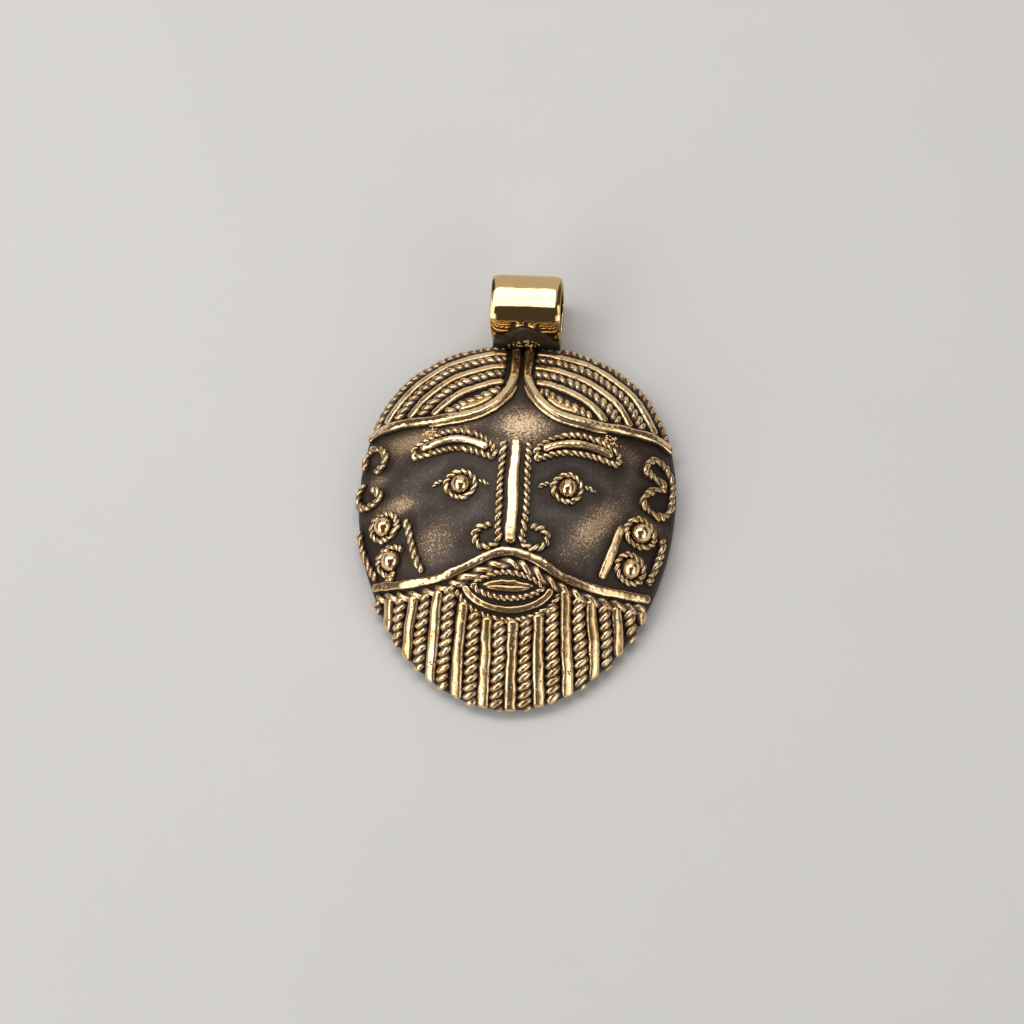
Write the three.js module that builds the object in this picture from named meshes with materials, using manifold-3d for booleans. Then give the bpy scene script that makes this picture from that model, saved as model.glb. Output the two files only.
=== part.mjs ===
// Pendant: a bearded face mask in filigree relief with a band bail, cast in bronze, lying on its back.
// Millimetres. The face looks along +Z, the bail is towards +Y, the wearer's left is towards +X.
// Plan coordinates are measured from the mask's middle, on the plane that its flat rim rests on.
import * as THREE from 'three';
import { mergeVertices } from 'three/addons/utils/BufferGeometryUtils.js';
import Module from 'manifold-3d';

const wasm = await Module();
wasm.setup();

// Driving dimensions
const OVAL = { halfWidth: 14.8, widestAt: 3, up: 15.2, upPower: 2.25, down: 20.4, downPower: 1.95 };
const DOME = { edge: 1.2, height: 7, fall: 2.6, wall: 1.6, rimShare: 0.9, spokes: 36 };
const ROPE = { wide: 0.95, high: 0.68, low: 0.36, step: 0.8 };
const BAND = { wide: 0.9, high: 0.72 };
const HAIR = { strands: 8, outer: 1.02, pitch: 0.066, partingGap: 1.05, ridge: 0.55, valley: 0.12 };
const HAIR_EDGE = [[0.6, 17.9], [0.7, 13.3], [1.4, 11.2], [2.9, 9.75], [6.9, 8.6], [11.3, 8.65], [14.2, 8]];
const BEARD = { strands: 20, pitch: 1.14, fan: 0.1, ridge: 0.62, valley: 0.14, end: 0.985 };
const BROW = { from: 1.9, to: 9.4, inner: 5.05, arch: 1.2, drop: 0.4, half: 0.9 };
const EYE = { x: 4.9, y: 2.1, ball: 0.85, ring: 1.3, corner: 2.6 };
const NOSE = { top: 6.3, base: -3.4, half: 0.5, high: 1.15, rope: 1.2, wing: 1.0 };
const MOUTH = { y: -7.3, half: 3.2, tall: 1.05, lip: 0.4 };
const MOUSTACHE = { level: -7.05, peak: 2.75, spread: 4.6, endRise: 0.45, end: 12.7, ropeDrop: 1.1 };
const CHIN_ARC = { y: -6.9, smooth: [3.9, 2.5], twisted: [4.8, 3.4] };
const BOSS = { ball: 0.9, ring: 1.2, places: [[11.7, -1.05], [10.8, -4.5]] };
const BARS = [[[10, -0.9], [8.1, -6]], [[14, -0.4], [12.45, -5.9]]];
const EARS = [{ at: [13.1, 5.0], half: [1.05, 1.35] }, { at: [13.15, 2.2], half: [1.15, 1.2] }];
const LUG = { halfWidth: 3.2, front: 17.5, back: 18.8, foot: 0.4, side: 2.7, crest: 5.4, slope: 0.4 };
const BAIL = { y: 21.12, z: 3.5, up: 2.83, out: 3.45, power: 3.3, halfWidth: 3.3, bevel: 0.15 };
const BAIL_HOLE = { up: 2.25, out: 2.87, power: 4 };
const GAP = 0.05;
const SINK = 0.5;

// The oval and the dome: level runs from 0 at the top of the dome to 1 at the rim.
function half(dy) {
  return dy >= 0 ? [OVAL.up, OVAL.upPower] : [OVAL.down, OVAL.downPower];
}

function level(x, y) {
  const dy = y - OVAL.widestAt;
  const [tall, power] = half(dy);
  return (Math.abs(x / OVAL.halfWidth) ** power + Math.abs(dy / tall) ** power) ** (1 / power);
}

function plan(turn, share) {
  const c = Math.cos(turn);
  const s = Math.sin(turn);
  const [tall, power] = half(s);
  const x = OVAL.halfWidth * share * Math.sign(c) * Math.abs(c) ** (2 / power);
  return [x, OVAL.widestAt + tall * share * Math.sign(s) * Math.abs(s) ** (2 / power)];
}

function rise(share) {
  return DOME.edge + (DOME.height - DOME.edge) * (1 - share ** DOME.fall);
}

// Past the rim, the skin runs straight down the edge of the mask.
function onSkin(x, y) {
  const share = level(x, y);
  if (share <= 1) return new THREE.Vector3(x, y, rise(share));
  const rimY = OVAL.widestAt + (y - OVAL.widestAt) / share;
  return new THREE.Vector3(x / share, rimY, DOME.edge - (share - 1) * OVAL.halfWidth);
}

function outward(x, y) {
  const e = 0.02;
  const dx = onSkin(x + e, y).sub(onSkin(x - e, y));
  const dy = onSkin(x, y + e).sub(onSkin(x, y - e));
  return dx.cross(dy).normalize();
}

function skin(x, y, lift) {
  return onSkin(x, y).addScaledVector(outward(x, y), lift);
}

// Closed meshes from rings and grids of points
function fromFaces(points, faces) {
  const geometry = new THREE.BufferGeometry();
  const numbers = points.flatMap((p) => p.toArray());
  geometry.setAttribute('position', new THREE.Float32BufferAttribute(numbers, 3));
  geometry.setIndex(faces.flat());
  return geometry;
}

function bandFaces(a, b, count, around) {
  const faces = [];
  for (let j = 0; j < (around ? count : count - 1); j++) {
    const k = (j + 1) % count;
    faces.push([a + j, a + k, b + k], [a + j, b + k, b + j]);
  }
  return faces;
}

function maskShell() {
  const n = DOME.spokes;
  const rings = [0.25, 0.47, 0.67, 0.84, 0.94, 1].map((share) => [share, rise(share)]);
  rings.push([1, 0], [DOME.rimShare, 0]);
  [0.87, 0.7, 0.48, 0.25].forEach((share) => rings.push([share, rise(share) - DOME.wall]));
  const points = [new THREE.Vector3(0, OVAL.widestAt, DOME.height)];
  for (const [share, z] of rings) {
    for (let i = 0; i < n; i++) {
      const [x, y] = plan((i * 2 * Math.PI) / n, share);
      points.push(new THREE.Vector3(x, y, z));
    }
  }
  points.push(new THREE.Vector3(0, OVAL.widestAt, DOME.height - DOME.wall));
  const faces = [];
  const last = points.length - 1;
  for (let i = 0; i < n; i++) {
    const k = (i + 1) % n;
    faces.push([0, 1 + i, 1 + k], [last, last - n + k, last - n + i]);
  }
  for (let r = 0; r < rings.length - 1; r++) {
    faces.push(...bandFaces(1 + (r + 1) * n, 1 + r * n, n, true));
  }
  return fromFaces(points, faces);
}

function through(route, closed = false) {
  return new THREE.CatmullRomCurve3(route.map(([x, y]) => new THREE.Vector3(x, y, 0)), closed, 'centripetal');
}

// A wire laid along a route on the face, with its two feet sunk in the wall so that nothing is undercut.
// profile(i) gives the section at station i, from foot to foot, as [across, up] from the skin.
function wire(route, profile, step, closed = false) {
  const curve = through(route, closed);
  const pairs = Math.max(closed ? 3 : 1, Math.round(curve.getLength() / step / 2));
  const places = curve.getSpacedPoints(pairs * 2);
  if (closed) places.pop();
  const count = places.length;
  const corners = profile(0).length;
  const points = [];
  for (let i = 0; i < count; i++) {
    const before = places[closed ? (i + count - 1) % count : Math.max(0, i - 1)];
    const after = places[closed ? (i + 1) % count : Math.min(count - 1, i + 1)];
    const up = outward(places[i].x, places[i].y);
    const along = onSkin(after.x, after.y).sub(onSkin(before.x, before.y));
    const side = along.cross(up).normalize();
    for (const [across, height] of profile(i)) {
      points.push(skin(places[i].x, places[i].y, height).addScaledVector(side, across));
    }
  }
  const faces = [];
  for (let i = 0; i < (closed ? count : count - 1); i++) {
    faces.push(...bandFaces(i * corners, ((i + 1) % count) * corners, corners, true));
  }
  if (!closed) {
    const end = (count - 1) * corners;
    for (let j = 1; j < corners - 1; j++) faces.push([0, j + 1, j], [end, end + j, end + j + 1]);
  }
  return fromFaces(points, faces);
}

// Twisted wire: the two edges of its flat top rise and fall in turn, which gives slanting grains.
function rope(route, closed = false, size = 1, step = ROPE.step) {
  const reach = (ROPE.wide * size) / 2;
  const profile = (i) => {
    const [left, right] = i % 2 ? [ROPE.low, ROPE.high] : [ROPE.high, ROPE.low];
    return [[-reach, -SINK], [-reach * 0.7, left * size], [reach * 0.7, right * size], [reach, -SINK]];
  };
  return wire(route, profile, step, closed);
}

function band(route, size = 1, step = 1.5) {
  const reach = (BAND.wide * size) / 2;
  const height = BAND.high * size;
  const profile = [[-reach, -SINK], [-reach * 0.9, height * 0.6], [0, height], [reach * 0.9, height * 0.6],
    [reach, -SINK]];
  return wire(route, () => profile, step);
}

function ellipse(x, y, halfX, halfY, from = 0, to = 2 * Math.PI, count = 16) {
  const whole = to - from > 6.28;
  const route = [];
  for (let i = 0; i < (whole ? count : count + 1); i++) {
    const turn = from + ((to - from) * i) / count;
    route.push([x + halfX * Math.cos(turn), y + halfY * Math.sin(turn)]);
  }
  return route;
}

// A granule: a round knob on a short foot
function knob(x, y, radius) {
  const profile = [new THREE.Vector2(0, -SINK), new THREE.Vector2(radius, -SINK)];
  for (let i = 0; i <= 3; i++) {
    const turn = (i * Math.PI) / 6;
    profile.push(new THREE.Vector2(radius * Math.cos(turn), radius * (0.3 + Math.sin(turn))));
  }
  profile[profile.length - 1].x = 0;
  const turned = new THREE.Quaternion().setFromUnitVectors(new THREE.Vector3(0, 1, 0), outward(x, y));
  const middle = onSkin(x, y);
  return new THREE.LatheGeometry(profile, 8).applyQuaternion(turned).translate(middle.x, middle.y, middle.z);
}

// A pad: a grid of plan points with a lift for each column, over an underside sunk in the wall.
function pad(rows, lifts) {
  const columns = lifts.length;
  const points = [];
  for (const row of rows) row.forEach(([x, y], j) => points.push(skin(x, y, lifts[j])));
  const below = points.length;
  for (const row of rows) row.forEach(([x, y]) => points.push(skin(x, y, -SINK)));
  const faces = [];
  for (let i = 0; i < rows.length - 1; i++) {
    faces.push(...bandFaces((i + 1) * columns, i * columns, columns, false));
    faces.push(...bandFaces(below + i * columns, below + (i + 1) * columns, columns, false));
  }
  const edge = [];
  const lastRow = (rows.length - 1) * columns;
  for (let j = 0; j < columns; j++) edge.push(j);
  for (let i = 1; i < rows.length; i++) edge.push(i * columns + columns - 1);
  for (let j = columns - 2; j >= 0; j--) edge.push(lastRow + j);
  for (let i = rows.length - 2; i > 0; i--) edge.push(i * columns);
  edge.forEach((a, i) => {
    const b = edge[(i + 1) % edge.length];
    faces.push([a, b, below + b], [a, below + b, below + a]);
  });
  return fromFaces(points, faces);
}

function search(low, high, tooFar) {
  for (let i = 0; i < 40; i++) {
    const middle = (low + high) / 2;
    if (tooFar(middle)) high = middle;
    else low = middle;
  }
  return low;
}

// Hair: two lobes, each a smooth edge band round strands that follow the oval
function edgeHeight(x) {
  const curve = through(HAIR_EDGE);
  return curve.getPoint(search(0, 1, (t) => curve.getPoint(t).x > x)).y;
}

function hairLobe(side) {
  const columns = HAIR.strands * 2 + 1;
  const stretches = 9;
  const lifts = [];
  for (let j = 0; j < columns; j++) lifts.push(j % 2 ? HAIR.ridge : HAIR.valley);
  const rows = [];
  for (let i = 0; i <= stretches; i++) rows.push([]);
  for (let j = 0; j < columns; j++) {
    const share = HAIR.outer - (j * HAIR.pitch) / 2;
    const end = search(0, Math.PI / 2, (turn) => plan(turn, share)[0] < HAIR.partingGap);
    const start = search(0, end, (turn) => {
      const [x, y] = plan(turn, share);
      return y > edgeHeight(x);
    });
    for (let i = 0; i <= stretches; i++) {
      const [x, y] = plan(start + ((end - start) * i) / stretches, share);
      rows[i].push([side * x, y]);
    }
  }
  if (side < 0) rows.reverse();
  return [pad(rows, lifts), band(HAIR_EDGE.map(([x, y]) => [side * x, y]))];
}

// Moustache: a bell-shaped band with a thick rope under it
function moustacheY(x) {
  const bell = MOUSTACHE.peak * Math.exp(-((x / MOUSTACHE.spread) ** 2));
  return MOUSTACHE.level + bell + MOUSTACHE.endRise * (x / MOUSTACHE.end) ** 4;
}

function moustache() {
  const upper = [];
  const lower = [];
  for (let i = -8; i <= 8; i++) {
    const x = (MOUSTACHE.end * i) / 8;
    upper.push([x, moustacheY(x)]);
    lower.push([x * 0.97, moustacheY(x) - MOUSTACHE.ropeDrop]);
  }
  return [band(upper, 1, 1.3), rope(lower, false, 1.1)];
}

// Beard: strands that fan out from under the moustache and end at the rim
function beardTop(x) {
  const underRope = moustacheY(x) - MOUSTACHE.ropeDrop;
  const inside = 1 - (x / CHIN_ARC.twisted[0]) ** 2;
  if (inside <= 0) return underRope;
  return Math.min(underRope, CHIN_ARC.y - CHIN_ARC.twisted[1] * Math.sqrt(inside));
}

function beard() {
  const columns = BEARD.strands * 2 + 1;
  const stretches = 5;
  const lifts = [];
  const rows = [];
  for (let i = 0; i <= stretches; i++) rows.push([]);
  for (let j = 0; j < columns; j++) {
    lifts.push(j % 2 ? BEARD.ridge : BEARD.valley);
    const x = ((j - BEARD.strands) * BEARD.pitch) / 2;
    const top = beardTop(x);
    const at = (drop) => [x * (1 + (BEARD.fan * drop) / 8), top - drop];
    const length = search(0, 12, (drop) => level(...at(drop)) > BEARD.end);
    for (let i = 0; i <= stretches; i++) rows[i].push(at((length * i) / stretches));
  }
  return pad(rows, lifts);
}

// Brows, eyes, nose and mouth, on plain proportions: eyes half way down the head, an eye's width apart
function browY(x) {
  const along = (x - BROW.from) / (BROW.to - BROW.from);
  return BROW.inner + BROW.arch * Math.sin(Math.PI * along ** 0.85) + BROW.drop * along;
}

function brow(side) {
  const upper = [];
  const lower = [];
  const core = [];
  for (let i = 0; i <= 6; i++) {
    const x = BROW.from + ((BROW.to - BROW.from) * i) / 6;
    const swell = BROW.half * (i === 0 || i === 6 ? 0.55 : 1);
    upper.push([side * x, browY(x) + swell]);
    lower.push([side * x, browY(x) - swell]);
    if (i > 0 && i < 6) core.push([side * x, browY(x)]);
  }
  return [rope([...upper, ...lower.reverse()], true, 0.85), band(core, 1, 1.6)];
}

function eye(side) {
  const x = side * EYE.x;
  const tails = [-1, 1].map((way) => rope(
    [[x + way * (EYE.ring + 0.1), EYE.y + 0.35], [x + way * EYE.corner, EYE.y - 0.15]], false, 0.7));
  return [knob(x, EYE.y, EYE.ball), rope(ellipse(x, EYE.y, EYE.ring, EYE.ring), true, 0.75), ...tails];
}

function nose() {
  const pieces = [-1, 1].map((side) => {
    const across = NOSE.rope + NOSE.wing;
    const down = [[NOSE.rope, NOSE.top], [NOSE.rope, 0], [NOSE.rope + 0.05, NOSE.base + 1.2]];
    const [from, to] = [Math.PI * 1.1, Math.PI * 2.6];
    const curl = ellipse(across, NOSE.base + 0.55, NOSE.wing * 1.15, NOSE.wing, from, to, 8);
    return rope([...down, ...curl].map(([x, y]) => [side * x, y]), false, 0.85);
  });
  const flank = [[1.6, -SINK], [1.4, NOSE.high * 0.7], [0.6, NOSE.high]].map(([x, z]) => [x * NOSE.half, z]);
  const ridge = [...flank.map(([x, z]) => [-x, z]), ...flank.reverse()];
  pieces.push(wire([[0, NOSE.top + 0.1], [0, NOSE.base]], () => ridge, 2.4));
  return pieces;
}

function mouth() {
  const ring = [];
  for (let i = 0; i < 16; i++) {
    const turn = (i * Math.PI) / 8;
    const almond = Math.sin(turn) * Math.abs(Math.sin(turn)) ** 0.3;
    ring.push([MOUTH.half * Math.cos(turn), MOUTH.y + MOUTH.tall * almond]);
  }
  const lips = [[-MOUTH.half + 0.9, MOUTH.y], [0, MOUTH.y], [MOUTH.half - 0.9, MOUTH.y]];
  const [smooth, twisted] = [CHIN_ARC.smooth, CHIN_ARC.twisted];
  return [
    rope(ring, true, 0.75),
    band(lips, MOUTH.lip * 2),
    band(ellipse(0, CHIN_ARC.y, ...smooth, Math.PI * 1.06, Math.PI * 1.94), 0.8, 1),
    rope(ellipse(0, CHIN_ARC.y, ...twisted, Math.PI * 1.08, Math.PI * 1.92), false, 0.8),
  ];
}

// Side ornaments: twisted bars, bosses in twisted rings, and the ears as twisted loops
function sideOrnaments(side) {
  const pieces = BARS.map((ends) => rope(ends.map(([x, y]) => [side * x, y]), false, 0.8));
  for (const [x, y] of BOSS.places) {
    pieces.push(knob(side * x, y, BOSS.ball), rope(ellipse(side * x, y, BOSS.ring, BOSS.ring), true, 0.7));
  }
  for (const { at, half: [a, b] } of EARS) pieces.push(rope(ellipse(side * at[0], at[1], a, b), true, 0.8));
  return pieces;
}

// Bail: drawn in the side view, along Y and Z, and run across X
function superellipse(up, out, power, count = 32) {
  const points = [];
  for (let i = 0; i < count; i++) {
    const turn = ((i + 0.5) * 2 * Math.PI) / count;
    const c = Math.cos(turn);
    const s = Math.sin(turn);
    points.push(new THREE.Vector2(
      up * Math.sign(c) * Math.abs(c) ** (2 / power), out * Math.sign(s) * Math.abs(s) ** (2 / power)));
  }
  return points;
}

function acrossX(shape, halfWidth, bevel = 0) {
  const geometry = new THREE.ExtrudeGeometry(shape, {
    depth: 2 * (halfWidth - bevel),
    bevelEnabled: bevel > 0, bevelSize: bevel, bevelThickness: bevel, bevelOffset: -bevel, bevelSegments: 1,
  });
  const axes = [new THREE.Vector3(0, 1, 0), new THREE.Vector3(0, 0, 1), new THREE.Vector3(1, 0, 0)];
  geometry.translate(0, 0, bevel - halfWidth).applyMatrix4(new THREE.Matrix4().makeBasis(...axes));
  return geometry;
}

function bailLoop() {
  const shape = new THREE.Shape(superellipse(BAIL.up, BAIL.out, BAIL.power));
  const hole = superellipse(BAIL_HOLE.up, BAIL_HOLE.out, BAIL_HOLE.power);
  shape.holes.push(new THREE.Path(hole.reverse()));
  return acrossX(shape, BAIL.halfWidth, BAIL.bevel);
}

function bailClearance() {
  const shape = new THREE.Shape(superellipse(BAIL.up + GAP, BAIL.out + GAP, BAIL.power));
  return acrossX(shape, BAIL.halfWidth + GAP).translate(0, BAIL.y, BAIL.z);
}

// Lug: an arched mound between the hair and the bail, sloped at the front
function lug() {
  const shape = new THREE.Shape([new THREE.Vector2(-LUG.halfWidth, LUG.foot)]);
  for (let i = 0; i <= 8; i++) {
    const across = i / 4 - 1;
    const arch = Math.cos((across * Math.PI) / 2) ** 1.5;
    shape.lineTo(across * LUG.halfWidth, LUG.side + (LUG.crest - LUG.side) * arch);
  }
  shape.lineTo(LUG.halfWidth, LUG.foot);
  const geometry = new THREE.ExtrudeGeometry(shape, {
    depth: LUG.back - LUG.front - 2 * LUG.slope,
    bevelSize: LUG.slope, bevelThickness: LUG.slope, bevelOffset: -LUG.slope, bevelSegments: 1,
  });
  return geometry.rotateX(Math.PI / 2).translate(0, LUG.back - LUG.slope, 0);
}

// Solids
function toSolid(geometry) {
  const plain = geometry.clone();
  plain.deleteAttribute('normal');
  plain.deleteAttribute('uv');
  const merged = mergeVertices(plain, 1e-5);
  return new wasm.Manifold(new wasm.Mesh({
    numProp: 3,
    vertProperties: new Float32Array(merged.attributes.position.array),
    triVerts: new Uint32Array(merged.index.array),
  }));
}

function toGeometry(solid) {
  const { vertProperties, triVerts } = solid.getMesh();
  const geometry = new THREE.BufferGeometry();
  geometry.setAttribute('position', new THREE.BufferAttribute(new Float32Array(vertProperties), 3));
  geometry.setIndex(new THREE.BufferAttribute(new Uint32Array(triVerts), 1));
  geometry.computeVertexNormals();
  return geometry;
}

function castMask() {
  const relief = [...moustache(), beard(), ...nose(), ...mouth(), lug()];
  for (const side of [-1, 1]) {
    relief.push(...hairLobe(side), ...brow(side), ...eye(side), ...sideOrnaments(side));
  }
  const whole = relief.reduce((solid, piece) => solid.add(toSolid(piece)), toSolid(maskShell()));
  return toGeometry(whole.subtract(toSolid(bailClearance())));
}

const patinated = new THREE.MeshStandardMaterial({ color: 0xa88654, roughness: 0.4, metalness: 1 });
const polished = new THREE.MeshStandardMaterial({ color: 0xd9b26a, roughness: 0.12, metalness: 1 });

const faceMask = new THREE.Mesh(castMask(), patinated);
faceMask.name = 'face_mask';

const bail = new THREE.Mesh(bailLoop(), polished);
bail.name = 'bail';
bail.position.set(0, BAIL.y, BAIL.z);

const pendant = new THREE.Group();
pendant.name = 'pendant';
pendant.add(faceMask, bail);

// The origin is under the middle of the whole pendant.
const box = new THREE.Box3().setFromObject(pendant, true);
pendant.position.set(0, -(box.min.y + box.max.y) / 2, -box.min.z);

export default pendant;
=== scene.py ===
"""Cast bronze pendant: a bearded mask in twisted-wire relief, with a polished band bail.

The pendant lies on its back. The classes work in millimetres, in the mask's own plan: x to the
wearer's left, y towards the bail, z the way the face looks, from the middle of the mask's flat rim.
"""

import logging
import math
from dataclasses import dataclass, field
from enum import Enum
from typing import Any, ClassVar, Sequence

import bpy
import numpy as np
from mathutils import Matrix, Vector
from mathutils.kdtree import KDTree


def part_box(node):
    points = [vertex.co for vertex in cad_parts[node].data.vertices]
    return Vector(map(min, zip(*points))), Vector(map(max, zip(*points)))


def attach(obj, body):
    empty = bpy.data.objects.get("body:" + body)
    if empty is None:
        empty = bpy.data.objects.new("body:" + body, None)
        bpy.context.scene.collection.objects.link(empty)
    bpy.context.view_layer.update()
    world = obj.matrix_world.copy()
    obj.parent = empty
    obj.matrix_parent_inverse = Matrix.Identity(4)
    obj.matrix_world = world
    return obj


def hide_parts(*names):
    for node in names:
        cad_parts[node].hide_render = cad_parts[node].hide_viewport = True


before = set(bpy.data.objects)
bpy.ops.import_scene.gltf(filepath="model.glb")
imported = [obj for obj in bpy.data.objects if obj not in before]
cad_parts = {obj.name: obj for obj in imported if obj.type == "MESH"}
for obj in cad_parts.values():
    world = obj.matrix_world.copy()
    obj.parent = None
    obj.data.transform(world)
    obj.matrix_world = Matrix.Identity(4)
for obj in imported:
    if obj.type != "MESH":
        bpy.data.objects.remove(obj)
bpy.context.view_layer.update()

Array = np.ndarray
Span = tuple[float, float]
Route = tuple[Span, ...]
Colour = tuple[float, float, float, float]
LOG = logging.getLogger("pendant")
MM = 0.001
BODY = "root"
MASK_NODE = "face_mask"
BAIL_NODE = "bail"
TURN = 2 * math.pi


class Slot(Enum):
    """The record's material slots."""

    MASK = "patinated_bronze"
    BAIL = "polished_bronze"


class Hand(Enum):
    """The way that a wire is twisted."""

    LEFT = -1
    RIGHT = 1


class Side(Enum):
    """A side of the face, by the sign of x."""

    RIGHT = -1
    LEFT = 1


# Geometry helpers


def through(points: Sequence[Sequence[float]], closed: bool = False, per_span: int = 12) -> Array:
    """Draws a smooth curve through plan points.

    Args:
        points: The points that the curve passes, as x and y.
        closed: Whether the curve returns to its first point.
        per_span: How many points to make between two given ones.

    Returns:
        The curve's points, one row each. A closed curve doesn't repeat its first point.
    """
    given = np.asarray(points, float)
    if closed:
        knots = np.vstack([given[-1:], given, given[:2]])
    else:
        knots = np.vstack([2 * given[:1] - given[1:2], given, 2 * given[-1:] - given[-2:-1]])
    gaps = np.sqrt(np.linalg.norm(np.diff(knots, axis=0), axis=1))
    at = np.concatenate([[0], np.cumsum(gaps)])
    made = []
    for i in range(1, len(knots) - 2):
        t = np.linspace(at[i], at[i + 1], per_span, endpoint=False)[:, None]
        a = [knots[j] + (knots[j + 1] - knots[j]) * (t - at[j]) / gaps[j] for j in (i - 1, i, i + 1)]
        b = []
        for j in (0, 1):
            low, high = at[i - 1 + j], at[i + 1 + j]
            b.append(a[j] + (a[j + 1] - a[j]) * (t - low) / (high - low))
        made.append(b[0] + (b[1] - b[0]) * (t - at[i]) / gaps[i])
    if not closed:
        made.append(given[-1:])
    return np.vstack(made)


def ellipse(x: float, y: float, half_x: float, half_y: float,
            start: float = 0, end: float = TURN, count: int = 48) -> Array:
    """Draws an ellipse or an arc of one.

    Args:
        x: The middle's x.
        y: The middle's y.
        half_x: Half the width.
        half_y: Half the height.
        start: The angle where the arc starts.
        end: The angle where it ends.
        count: How many points to make.

    Returns:
        The points, one row each. A whole ellipse doesn't repeat its first point.
    """
    whole = abs(end - start) > TURN - 0.01
    turn = np.linspace(start, end, count, endpoint=not whole)
    return np.column_stack([x + half_x * np.cos(turn), y + half_y * np.sin(turn)])


def on_side(side: Side, route: Array) -> Array:
    """Puts a route that is given for the wearer's left on one side of the face."""
    return route * [side.value, 1]


def distance_to(line: Array, points: Array) -> Array:
    """Gives each point's distance from the nearest point of a line."""
    return np.linalg.norm(points[:, None] - line[None], axis=2).min(1)


def grid_faces(rows: int, columns: int, wrap_rows: bool = False, wrap_columns: bool = False) -> Array:
    """Joins a grid of points into four-sided faces.

    Args:
        rows: How many rows the grid has.
        columns: How many points a row has.
        wrap_rows: Whether the last row joins the first.
        wrap_columns: Whether a row's last point joins its first.

    Returns:
        Four point numbers for each face.
    """
    i = np.arange(rows if wrap_rows else rows - 1)[:, None]
    j = np.arange(columns if wrap_columns else columns - 1)[None, :]
    below, beside = (i + 1) % rows, (j + 1) % columns
    corners = [i * columns + j, i * columns + beside, below * columns + beside, below * columns + j]
    return np.stack([np.broadcast_to(c, (i.size, j.size)) for c in corners], -1).reshape(-1, 4)


def fan_faces(ring: Array, hub: int, flip: bool = False) -> Array:
    """Closes a ring of points with a fan of triangles round a middle point.

    Args:
        ring: The ring's point numbers, in order.
        hub: The middle point's number.
        flip: Whether the triangles face the other way.

    Returns:
        Three point numbers for each face.
    """
    beside = np.roll(ring, -1)
    first, second = (beside, ring) if flip else (ring, beside)
    return np.column_stack([np.full(len(ring), hub), first, second])


def ease(low: float, high: float, value: Array) -> Array:
    """Rises smoothly from 0 at low to 1 at high."""
    t = np.clip((value - low) / (high - low), 0, 1)
    return t * t * (3 - 2 * t)


class Unevenness:
    """The slight waviness of a hand-made wax, as a smooth field of shifts that all pieces share.

    It is made of so many waves. Their lengths vary by the factors in lengths.
    """

    waves = 14
    lengths = (0.7, 1.5)

    def __init__(self, wavelength: float, amount: float, seed: int) -> None:
        """Draws the waves.

        Args:
            wavelength: The typical length of a wave, in millimetres.
            amount: The typical shift, in millimetres.
            seed: The seed that the waves are drawn from.
        """
        draw = np.random.default_rng(seed)
        direction = draw.normal(size=(self.waves, 3))
        direction /= np.linalg.norm(direction, axis=1)[:, None]
        self.pace = direction.T * TURN / (wavelength * draw.uniform(*self.lengths, self.waves))
        self.phase = draw.uniform(0, TURN, self.waves)
        self.shift = draw.normal(size=(self.waves, 3)) * amount / math.sqrt(self.waves)

    def at(self, points: Array) -> Array:
        """Gives the shift at each point."""
        return np.sin(points @ self.pace + self.phase) @ self.shift


WAX = (Unevenness(3.2, 0.045, 3), Unevenness(0.75, 0.016, 7))


def give_values(mesh: bpy.types.Mesh, name: str, values: Array) -> None:
    """Gives a mesh a named value for each point, for its material to read."""
    mesh.attributes.new(name, "FLOAT", "POINT").data.foreach_set("value", values.astype(np.float32))


def add_object(name: str, data: bpy.types.ID) -> bpy.types.Object:
    """Puts a new object into the scene.

    Args:
        name: The object's name.
        data: Its mesh, light or camera.

    Returns:
        The object.
    """
    made = bpy.data.objects.new(name, data)
    bpy.context.scene.collection.objects.link(made)
    return made


@dataclass
class Draft:
    """A mesh in the making: points in millimetres, faces, and each point's relief and polish."""

    points: list[Array] = field(default_factory=list)
    faces: list[list[int]] = field(default_factory=list)
    relief: list[Array] = field(default_factory=list)
    polish: list[Array] = field(default_factory=list)
    count: int = 0

    def add(self, points: Array, faces: Sequence[Array], relief: Array, polish: float = 0.0) -> None:
        """Adds one closed shell.

        Args:
            points: Its points, one row each.
            faces: Arrays of faces, by the shell's own point numbers.
            relief: For each point, 0 in a groove and 1 on a top.
            polish: How smooth it is rubbed, from 0 to 1.
        """
        for block in faces:
            self.faces.extend((block + self.count).tolist())
        self.points.append(points)
        self.relief.append(np.broadcast_to(relief, (len(points),)))
        self.polish.append(np.full(len(points), polish))
        self.count += len(points)

    def build(self, name: str, waviness: float = 1.0) -> bpy.types.Object:
        """Makes the mesh object, in metres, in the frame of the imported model.

        Args:
            name: The piece's name.
            waviness: How much of the wax's unevenness it gets.

        Returns:
            The new object, riding on nothing yet.
        """
        points = np.vstack(self.points)
        for wave in WAX:
            points = points + waviness * wave.at(points)
        points[:, 1] += PLAN_Y
        points[:, 2] = np.maximum(points[:, 2], 0)
        mesh = bpy.data.meshes.new(name)
        mesh.from_pydata((points * MM).tolist(), [], self.faces)
        give_values(mesh, "relief", np.concatenate(self.relief))
        give_values(mesh, "polish", np.concatenate(self.polish))
        mesh.shade_smooth()
        return add_object(name, mesh)


def place(piece: bpy.types.Object, node: str, material: bpy.types.Material) -> None:
    """Sets a piece on its body, in its node's stead, with its finish.

    Args:
        piece: The piece.
        node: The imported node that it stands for.
        material: The finish.
    """
    piece.data.materials.append(material)
    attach(piece, BODY)
    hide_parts(node)
    LOG.info("%s: %d faces for %s", piece.name, len(piece.data.polygons), node)


# The bail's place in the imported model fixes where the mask's plan lies.
BAIL_LOW, BAIL_HIGH = (np.array(corner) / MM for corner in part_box(BAIL_NODE))
BAIL_PLAN_Y = 21.12
PLAN_Y = (BAIL_LOW[1] + BAIL_HIGH[1]) / 2 - BAIL_PLAN_Y


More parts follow.
